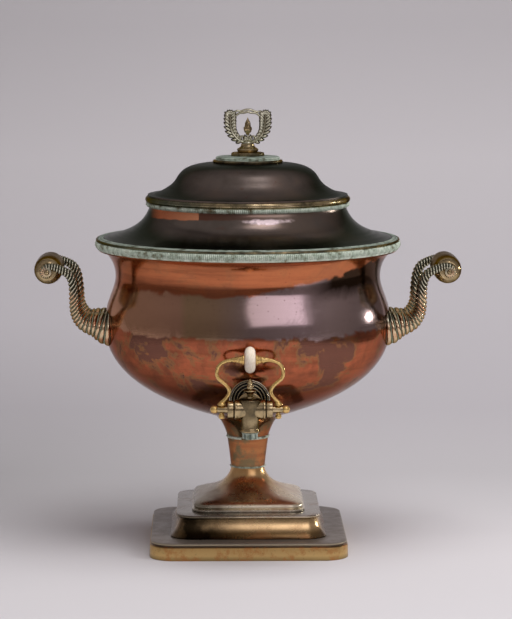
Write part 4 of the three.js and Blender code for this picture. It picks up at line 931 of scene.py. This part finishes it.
belly_x, root_z, grip_x, grip_z, arm_half = 142.8, 219.8, 197.5, 277.4, 42
arm_stations = [
    # out of the belly or of the grip, up, thick, wide, inset, reed pitch, lean of the reeds
    (-12, -0.4, 39, 46, 21, 5.0, 0), (-1.4, 0.2, 34, 46, 21, 5.0, 0),
    (7.5, 2.5, 25.5, 45, 21, 4.4, 2), (18.3, 5.5, 18.5, 44, 20.5, 4.0, 8),
    (24.7, 13, 15.5, 36, 16.5, 4.0, 22), (27.2, 21.9, 13, 24, 10.5, 4.4, 36),
    (27.8, 34.7, 11.8, 16.5, 5.5, 4.8, 45), (29.1, 46.6, 10.6, 13, 2.5, 4.4, 42)]
curl_stations = [
    (-22.1, -3.1, 9.8, 12, 1, 3.6, 30), (-16, 1.2, 9.0, 11, 0, 3.0, 16),
    (-7.2, 4.6, 8.2, 10.4, 0, 2.7, 6), (-0.8, 5.4, 6.8, 9.8, 0, 2.6, 0),
    (3.8, 3.2, 5.8, 9.4, 0, 2.4, 0), (5.2, -0.8, 5.0, 9.2, 0, 2.2, 0),
    (3.0, -4.2, 4.2, 9, 0, 2.0, 0), (-1.0, -4.6, 3.6, 8.8, 0, 1.9, 0),
    (-3.6, -2.2, 3.2, 8.6, 0, 1.8, 0)]


def arm(bm, side, width=None, last=None, thin=1.0):
    """One reeded arm on a side of the root, or the web between the two."""
    marks = [(belly_x + o, side * (arm_half - i), root_z + u, t * thin, w, p, a)
             for o, u, t, w, i, p, a in arm_stations]
    marks += [(grip_x + o, side * (arm_half - i), grip_z + u, t, w, p, a)
              for o, u, t, w, i, p, a in curl_stations]
    if last:
        marks = [(*m[:4], width, *m[5:]) for m in marks[:last]]
    line = through([m[:3] for m in marks], 16)
    size = through([m[3:5] + (0,) for m in marks], 16)
    reed = through([m[5:7] + (0,) for m in marks], 16)
    far = [0.0]
    for here, there in zip(line, line[1:]):
        far.append(far[-1] + (there - here).length)

    def at(reach):
        """The path's point, its across direction, half sizes, pitch and lean at a length."""
        i = min(max(bisect.bisect(far, reach) - 1, 0), len(far) - 2)
        t = min(max((reach - far[i]) / (far[i + 1] - far[i]), 0), 1)
        ahead = line[min(i + 2, len(line) - 1)] - line[max(i - 1, 0)]
        near = line[min(i + 1, len(line) - 1)] - line[max(i - 2, 0)]
        ahead = near.normalized().lerp(ahead.normalized(), t)
        return (line[i].lerp(line[i + 1], t), Vector((ahead.z, 0, -ahead.x)).normalized(),
                size[i].lerp(size[i + 1], t) / 2, reed[i].lerp(reed[i + 1], t))

    count, phase, reach, rings, sunk = 32, 0.0, 0.0, [], []
    while reach < far[-1]:
        half, cut = at(reach)[2:]
        ring = []
        ridge = abs(math.sin(math.pi * phase))
        for k in range(count):
            a = math.tau * k / count
            spot, across, wide, _ = at(reach - half.x * math.cos(a)
                                       * math.tan(math.radians(cut.y)))
            drop = min(1.3, cut.x * 0.28) * (1 - ridge ** 0.9)
            ring.append(spot + across * (wide.x - drop) * math.cos(a)
                        + Vector((0, (wide.y - drop) * math.sin(a), 0)))
        rings.append(ring)
        sunk += [1 - ridge] * count
        phase += 0.1
        reach += cut.x * 0.1
    part = bmesh.new()
    depth = part.verts.layers.float.new("groove")
    lofted(part, rings)
    for v, deep in zip(part.verts, sunk):
        v[depth] = deep
    joined(bm, part)


def moulded(profile, steps, axis, spot, bm=None):
    """A turned shape about an axis through a spot, joined to a piece or on its own."""
    part = turned(rounded(profile), steps, axis)
    bmesh.ops.translate(part, vec=spot, verts=part.verts)
    if bm is None:
        return part
    joined(bm, part)
    return bm


def to_side(bm, turn):
    """Turns a piece round the stem to its side."""
    bmesh.ops.rotate(bm, cent=(0, 0, 0), matrix=Matrix.Rotation(turn, 3, "Z"), verts=bm.verts)


for name, turn in (("right", 0), ("left", math.pi)):
    bm = bmesh.new()
    bm.verts.layers.float.new("groove")
    arm(bm, -1)
    arm(bm, 1)
    arm(bm, 0, width=56, last=4, thin=0.86)
    seated(bm)
    for side in (-1, 1):
        moulded([(2.5, -4.4), (4.6, -4.4, 0.4), (4.6, 4.4, 0.4), (2.5, 4.4)], 32, "Y",
                (grip_x, side * arm_half, grip_z), bm)
    to_side(bm, turn)
    placed("bracket_" + name, bm, cast, "urn", f"handle_{name}_bracket", sharp=50)

    barrel = [(2.5, -36.7), (8.6, -36.7, 0.5)]
    barrel += [(8.6 + 5.6 * math.sqrt(1 - (s / 12) ** 4), 36.7 * s / 12) for s in range(-11, 12)]
    barrel += [(8.6, 36.7, 0.5), (2.5, 36.7)]
    bm = moulded(barrel, 64, "Y", (grip_x, 0, grip_z))
    to_side(bm, turn)
    placed("grip_" + name, bm, brass, "urn", f"handle_{name}_grip")

    bm = moulded([
        (0, -48.1), (1.6, -48.1, 0.5), (2.2, -47.2), (2.2, 47.2), (1.6, 48.1, 0.5),
        (0, 48.1)], 24, "Y", (grip_x, 0, grip_z))
    to_side(bm, turn)
    placed("grip_pin_" + name, bm, brass, "urn", f"handle_{name}_grip_pin")
    for row in "ab":
        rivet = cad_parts[f"handle_{name}_rivet_{row}"]
        for slot in rivet.material_slots:
            slot.material = copper

# ---------------------------------------------------------------- Tap
# A plug valve of turned brass on a ringed boss. Its barrel lies across, the plug inside it
# is turned by a key with two S-shaped arms, and the spout hangs below.

tap_y, tap_z = -158.0, 158.9
tap = (0, tap_y, tap_z)

# Turned brass blackened by smoke and polish left in the corners, bright on its beads only.
black, tree, place = finish("blackened turned brass")
groove = add("Attribute", attribute_name="groove", give="Fac")
soot = add("TexNoise", place, Scale=160, Detail=5, Roughness=0.65)
tone = add("ValToRGB", soot, stops=[(0.35, "#d2cebc"), (0.7, "#b4ac8c")])
sooty = add("Mix", groove, tone, "#262521")
surface(base_color=sooty, metallic=1, roughness=0.26)

boss_face = 24.9
beads = []
for ring, proud in ((8.0, 0.3), (11.2, 0.5), (14.2, 0.6), (16.8, 0.6)):
    beads += [(ring, boss_face, 0.15), (ring + 0.3, boss_face - proud, 0.25),
              (ring + 0.9, boss_face - proud, 0.25), (ring + 1.2, boss_face, 0.15)]
bm = moulded([(0, boss_face)] + beads + [
    (18.6, 25.0, 0.2), (19.3, 25.3, 0.3), (19.6, 26.2, 0.4), (19.6, 27.4, 0.4), (17.4, 28.2, 0.5),
    (16.6, 40), (15.4, 70), (15.0, 110), (0, 110)], 96, "Y", (0, tap_y, tap_z + 5.2))
seated(bm)
layer = bm.verts.layers.float.new("groove")
for v in bm.verts:
    v[layer] = 1.0 if abs(v.co.y - (tap_y + boss_face)) < 0.12 else 0.0
placed("boss", bm, black, "urn", "tap_boss")

bm = moulded([
    (6.9, -21.3), (8.4, -21.3, 0.4), (8.6, -20.5, 0.3), (8.6, -16.0, 0.3), (7.8, -15.4),
    (7.8, -15.0), (9.6, -14.4, 0.4), (9.8, -12.9, 0.5), (9.2, -12.1, 0.2), (9.2, 12.1, 0.2),
    (9.8, 12.9, 0.5), (9.6, 14.4, 0.4), (7.8, 15.0), (7.8, 15.4), (8.6, 16.0, 0.3),
    (8.6, 20.5, 0.3), (8.4, 21.3, 0.4), (6.9, 21.3)], 64, "X", tap)
moulded([
    (4.8, -21.4), (8.9, -21.4, 0.4), (9.6, -20.6, 0.5), (9.5, -19.6, 0.3), (8.5, -18.0, 0.6),
    (8.2, -13.4), (8.6, -8.6), (9.6, -3.6, 1.0), (10.9, 2.4, 1.0), (11, 6.2), (11, 9.2, 0.5),
    (10.2, 9.9, 0.3), (0, 9.9), (0, -12), (4.8, -12)], 64, "Z", tap, bm)
moulded([
    (4.5, 6), (8.2, 6), (8.2, 18.6), (11.4, 19.0, 0.3), (12, 19.8, 0.4), (12, 23.0, 0.4),
    (11.2, 23.7, 0.3), (8.2, 23.7), (8.2, 73.6, 0.4),
    (4.5, 73.6, 0.3)], 48, "Y", (0, tap_y, tap_z + 1.6), bm)
# Painted shade: the upright body is dark from just under the barrel upwards and pales towards the
# spout's foot; the barrel's necks and end faces are marked dark too.
layer = bm.verts.layers.float.new("groove")
for v in bm.verts:
    x, y, z = v.co.x, v.co.y - tap_y, v.co.z - tap_z
    if abs(x) > 13 and math.hypot(y, z) < 8.1:
        v[layer] = 0.8
    elif math.hypot(x, y) < 11.5 and abs(x) < 11.2:
        v[layer] = min(max(0.62 + (z + 6) * 0.045, 0.12), 0.62)
placed("tap_body.new", bm, brass, "urn", "tap_body")

bm = moulded([
    (4.8, -27.7, 0.2), (6.9, -27.7, 0.4), (7.4, -26.9, 0.3), (7.4, -23.1, 0.2), (7.9, -22.4, 0.3),
    (7.9, -21.45, 0.2), (4.8, -21.45)], 64, "Z", tap)
layer = bm.verts.layers.float.new("groove")
for v in bm.verts:
    turn = math.atan2(v.co.y - tap_y, v.co.x)
    v[layer] = 0.4
    if v.co.z < tap_z - 22.9 and math.cos(8 * turn) > 0.5:
        v.co.x *= 0.93
        v.co.y = tap_y + (v.co.y - tap_y) * 0.93
        v[layer] = 0.85
placed("nozzle", bm, verdigris, "urn", "tap_nozzle")

bm = moulded([
    (0, 7.5), (1.4, 7.5), (1.4, 10.0), (2.5, 10.0, 0.2), (2.3, 12.1, 0.4), (3.4, 15.3, 0.6),
    (6.2, 17.6, 0.5), (6.4, 18.4, 0.3), (3.4, 19.3, 0.5), (2.6, 19.6, 0.2), (3.0, 20.6),
    (3.0, 22.4), (2.2, 23.6, 0.3), (1.9, 24.2, 0.2), (2.6, 25.4, 0.3), (2.5, 26.7, 0.4),
    (1.5, 28.0, 0.3), (0.9, 29.0, 0.2), (0, 29.3)], 40, "Z", tap)
placed("tap_finial.new", bm, brass, "urn", "tap_finial")

# ---------------------------------------------------------------- Tap key
# The plug and everything that turns with it: nuts on the plug's ends, two bent arms screwed
# through them, and between the arms a thick cream disc of turned bone on a steel pin.

bm = moulded([
    (0, -34.0), (1.5, -34.0, 0.3), (2.0, -33.4), (2.0, -30.8), (3.2, -30.8, 0.2), (3.2, -21.3),
    (6.7, -21.3, 0.3), (5.9, 21.3, 0.3), (3.2, 21.3), (3.2, 30.8, 0.2), (2.0, 30.8), (2.0, 33.4),
    (1.5, 34.0, 0.3), (0, 34.0)], 48, "X", tap)
placed("plug", bm, brass, "tap_key", "tap_plug")

# Bone turned on a lathe and worn smooth: warm cream, with faint pores along its grain and a
# waxy shine that light goes a little way into.
bone, tree, place = finish("turned bone")
grain = add("Mapping", place, Scale=(260, 60, 60))
pores = add("TexNoise", grain, Scale=6, Detail=4)
tone = add("ValToRGB", pores, stops=[(0.3, "#d9c7ae"), (0.5, "#ece0cc"), (0.75, "#f2e9da")])
gloss = add("MapRange", pores, 0.3, 0.7, 0.32, 0.5)
pits = add("Bump", Height=pores, Strength=0.1, Distance=0.0002)
surface(base_color=tone, roughness=gloss, normal=pits, ior=1.54, subsurface_weight=0.1,
        subsurface_radius=(0.002, 0.0012, 0.0008))

# Brass polished daily by the fingers: pale yellow, soft and a little uneven.
gold, tree, place = finish("brass rubbed bright")
rub = add("TexNoise", place, Scale=130, Detail=5, Roughness=0.65)
tone = add("ValToRGB", rub, stops=[(0.3, "#cba765"), (0.5, "#f0ce84"), (0.72, "#d2a262")])
gloss = add("MapRange", rub, 0.3, 0.7, 0.2, 0.34)
surface(base_color=tone, roughness=gloss, metallic=0.9)

foot_rise, disc_rise = 5.5, 47.3
disc = (0, tap_y, tap_z + disc_rise)
bm = moulded([
    (1.3, -5.1), (7.9, -5.1, 1.2), (11.0, -3.9, 1.2), (12.4, -1.4, 0.6), (12.5, 0),
    (12.4, 1.4, 0.6), (11.0, 3.9, 1.2), (7.9, 5.1, 1.2), (1.3, 5.1)], 64, "X", disc)
placed("disc", bm, bone, "tap_key", "tap_roundel")
bm = moulded([(0, -13.0), (1, -13.0), (1, 13.0), (0, 13.0)], 24, "X", disc)
placed("disc_pin", bm, steel, "tap_key", "tap_crosspin")

# How far each bend of an arm lies out from the barrel's end, and its share of the rise.
barrel_end = 21.3
screw_foot = (26.8, tap_y, tap_z)
key_route = [(6.4, 0), (3.4, 0.07), (0.6, 0.15), (-1.5, 0.235), (-1.5, 0.325), (0.9, 0.415),
             (4.6, 0.495), (8.8, 0.585), (10.1, 0.705), (9.0, 0.83), (5.4, 0.925), (-0.7, 0.983)]
for name, side in (("right", 1), ("left", -1)):
    spots = [(barrel_end + out, tap_y, tap_z + foot_rise + (disc_rise - foot_rise) * share)
             for out, share in key_route]
    path = through(spots + [(13.6, *disc[1:])], 5)
    bm = bmesh.new()
    rod(bm, path, [(1.75 + 0.6 * max(0, 1 - i / 9),) * 2 for i in range(len(path))], 16)
    moulded([
        (0, 3.55), (2.8, 3.55, 0.3), (4.2, 4.6, 0.4), (3.6, 5.9, 0.4), (2.4, 7.2, 0.5),
        (0, 7.7)], 40, "Z", screw_foot, bm)
    moulded([
        (0, 10.5), (3.3, 10.5, 0.3), (3.2, 11.8, 0.3), (2.3, 14.8, 0.6), (1.8, 18.3, 0.5),
        (0, 18.6)], 32, "X", disc, bm)
    nut = moulded([
        (2.3, 31.1), (2.8, 31.1, 0.3), (3.7, 32.5, 0.5), (3.7, 35.2, 0.5), (2.5, 37.1, 0.7),
        (0, 37.9), (0, 34.4), (2.3, 34.4)], 40, "X", tap)
    screw = moulded([
        (0, -8.8), (2.2, -8.8, 0.5), (2.9, -7.9, 0.4), (2.9, -5.2, 0.4), (2, -4.6, 0.2), (2, -3.5),
        (1.2, -3.5), (1.2, 5.6), (0, 5.6)], 32, "Z", screw_foot)
    ferrule = moulded([
        (1.3, 5.4), (5, 5.4, 0.3), (5, 7.3, 0.4), (4.0, 7.9, 0.2), (4.3, 8.7, 0.3),
        (3.8, 9.6, 0.2), (3.9, 10.1, 0.2), (1.3, 10.1)], 40, "X", disc)
    for part, new, node in ((bm, "key_arm_", "tap_arm_"), (nut, "plug_nut_", "tap_plug_nut_"),
                            (screw, "key_screw_", "tap_arm_screw_"),
                            (ferrule, "ferrule_", "tap_ferrule_")):
        if side < 0:
            bmesh.ops.scale(part, vec=(-1, 1, 1), verts=part.verts)
        placed(new + name, part, gold, "tap_key", node + name)

# ---------------------------------------------------------------- Heater
# A copper tube stands in the bowl and takes a red-hot iron billet, lifted by its eye. A brass
# cover with a knob keeps steam and ash apart.

bm = turned(rounded([
    (0, 131.6), (30.5, 131.6, 0.5), (30.5, 292.1, 0.5), (28.9, 292.1, 0.4), (28.9, 133.2),
    (0, 133.2)]), 64)
placed("socket", bm, copper, "urn", "heater_socket")

# Wrought iron that has been red hot many times: grey-black scale, rough, rusted in spots.
iron, tree, place = finish("forged iron")
scale = add("TexNoise", place, Scale=140, Detail=7, Roughness=0.7)
tone = add("ValToRGB", scale, stops=[(0.3, "#2b2826"), (0.52, "#45403c"), (0.66, "#5a3b28")])
gloss = add("MapRange", scale, 0.3, 0.7, 0.5, 0.8)
rough = add("Bump", Height=scale, Strength=0.5, Distance=0.0006)
surface(base_color=tone, roughness=gloss, normal=rough, metallic=0.8)

bm = turned(rounded([
    (0, 133.5), (23.0, 133.5, 0.5), (25.0, 135.5, 1), (25.0, 233.5, 1), (23.0, 235.5, 0.5),
    (0, 235.5)]), 64)
eye_z, eye_bar = 243.4, 2.7
eye = [Vector((9 * math.cos(a), 0, eye_z + 9 * math.sin(a)))
       for a in (math.tau * i / 40 for i in range(40))]
rings = [[p + (p - Vector((0, 0, eye_z))).normalized() * eye_bar * math.cos(b)
          + Vector((0, eye_bar * math.sin(b), 0)) for b in (math.tau * k / 14 for k in range(14))]
         for p in eye]
lofted(bm, rings, closed=True)
placed("iron_billet", bm, iron, "heater", "heater_iron")

bm = turned(rounded([
    (0, 292.4), (31.2, 292.4, 0.3), (31.2, 286.4), (32.8, 286.4, 0.3), (32.8, 294.0, 0.9),
    (0, 294.0)]), 80)
placed("cover", bm, brass, "socket_lid", "socket_cover")
bm = turned(rounded([
    (0, 294.0), (6.2, 294.0, 0.4), (3.6, 296.4, 1.2), (3.6, 298.8, 1), (6.3, 301.2, 1.4),
    (6.4, 303.8, 1.2), (3.6, 306.0, 1), (0, 306.0)]), 48)
placed("cover_knob", bm, brass, "socket_lid", "socket_cover_knob")
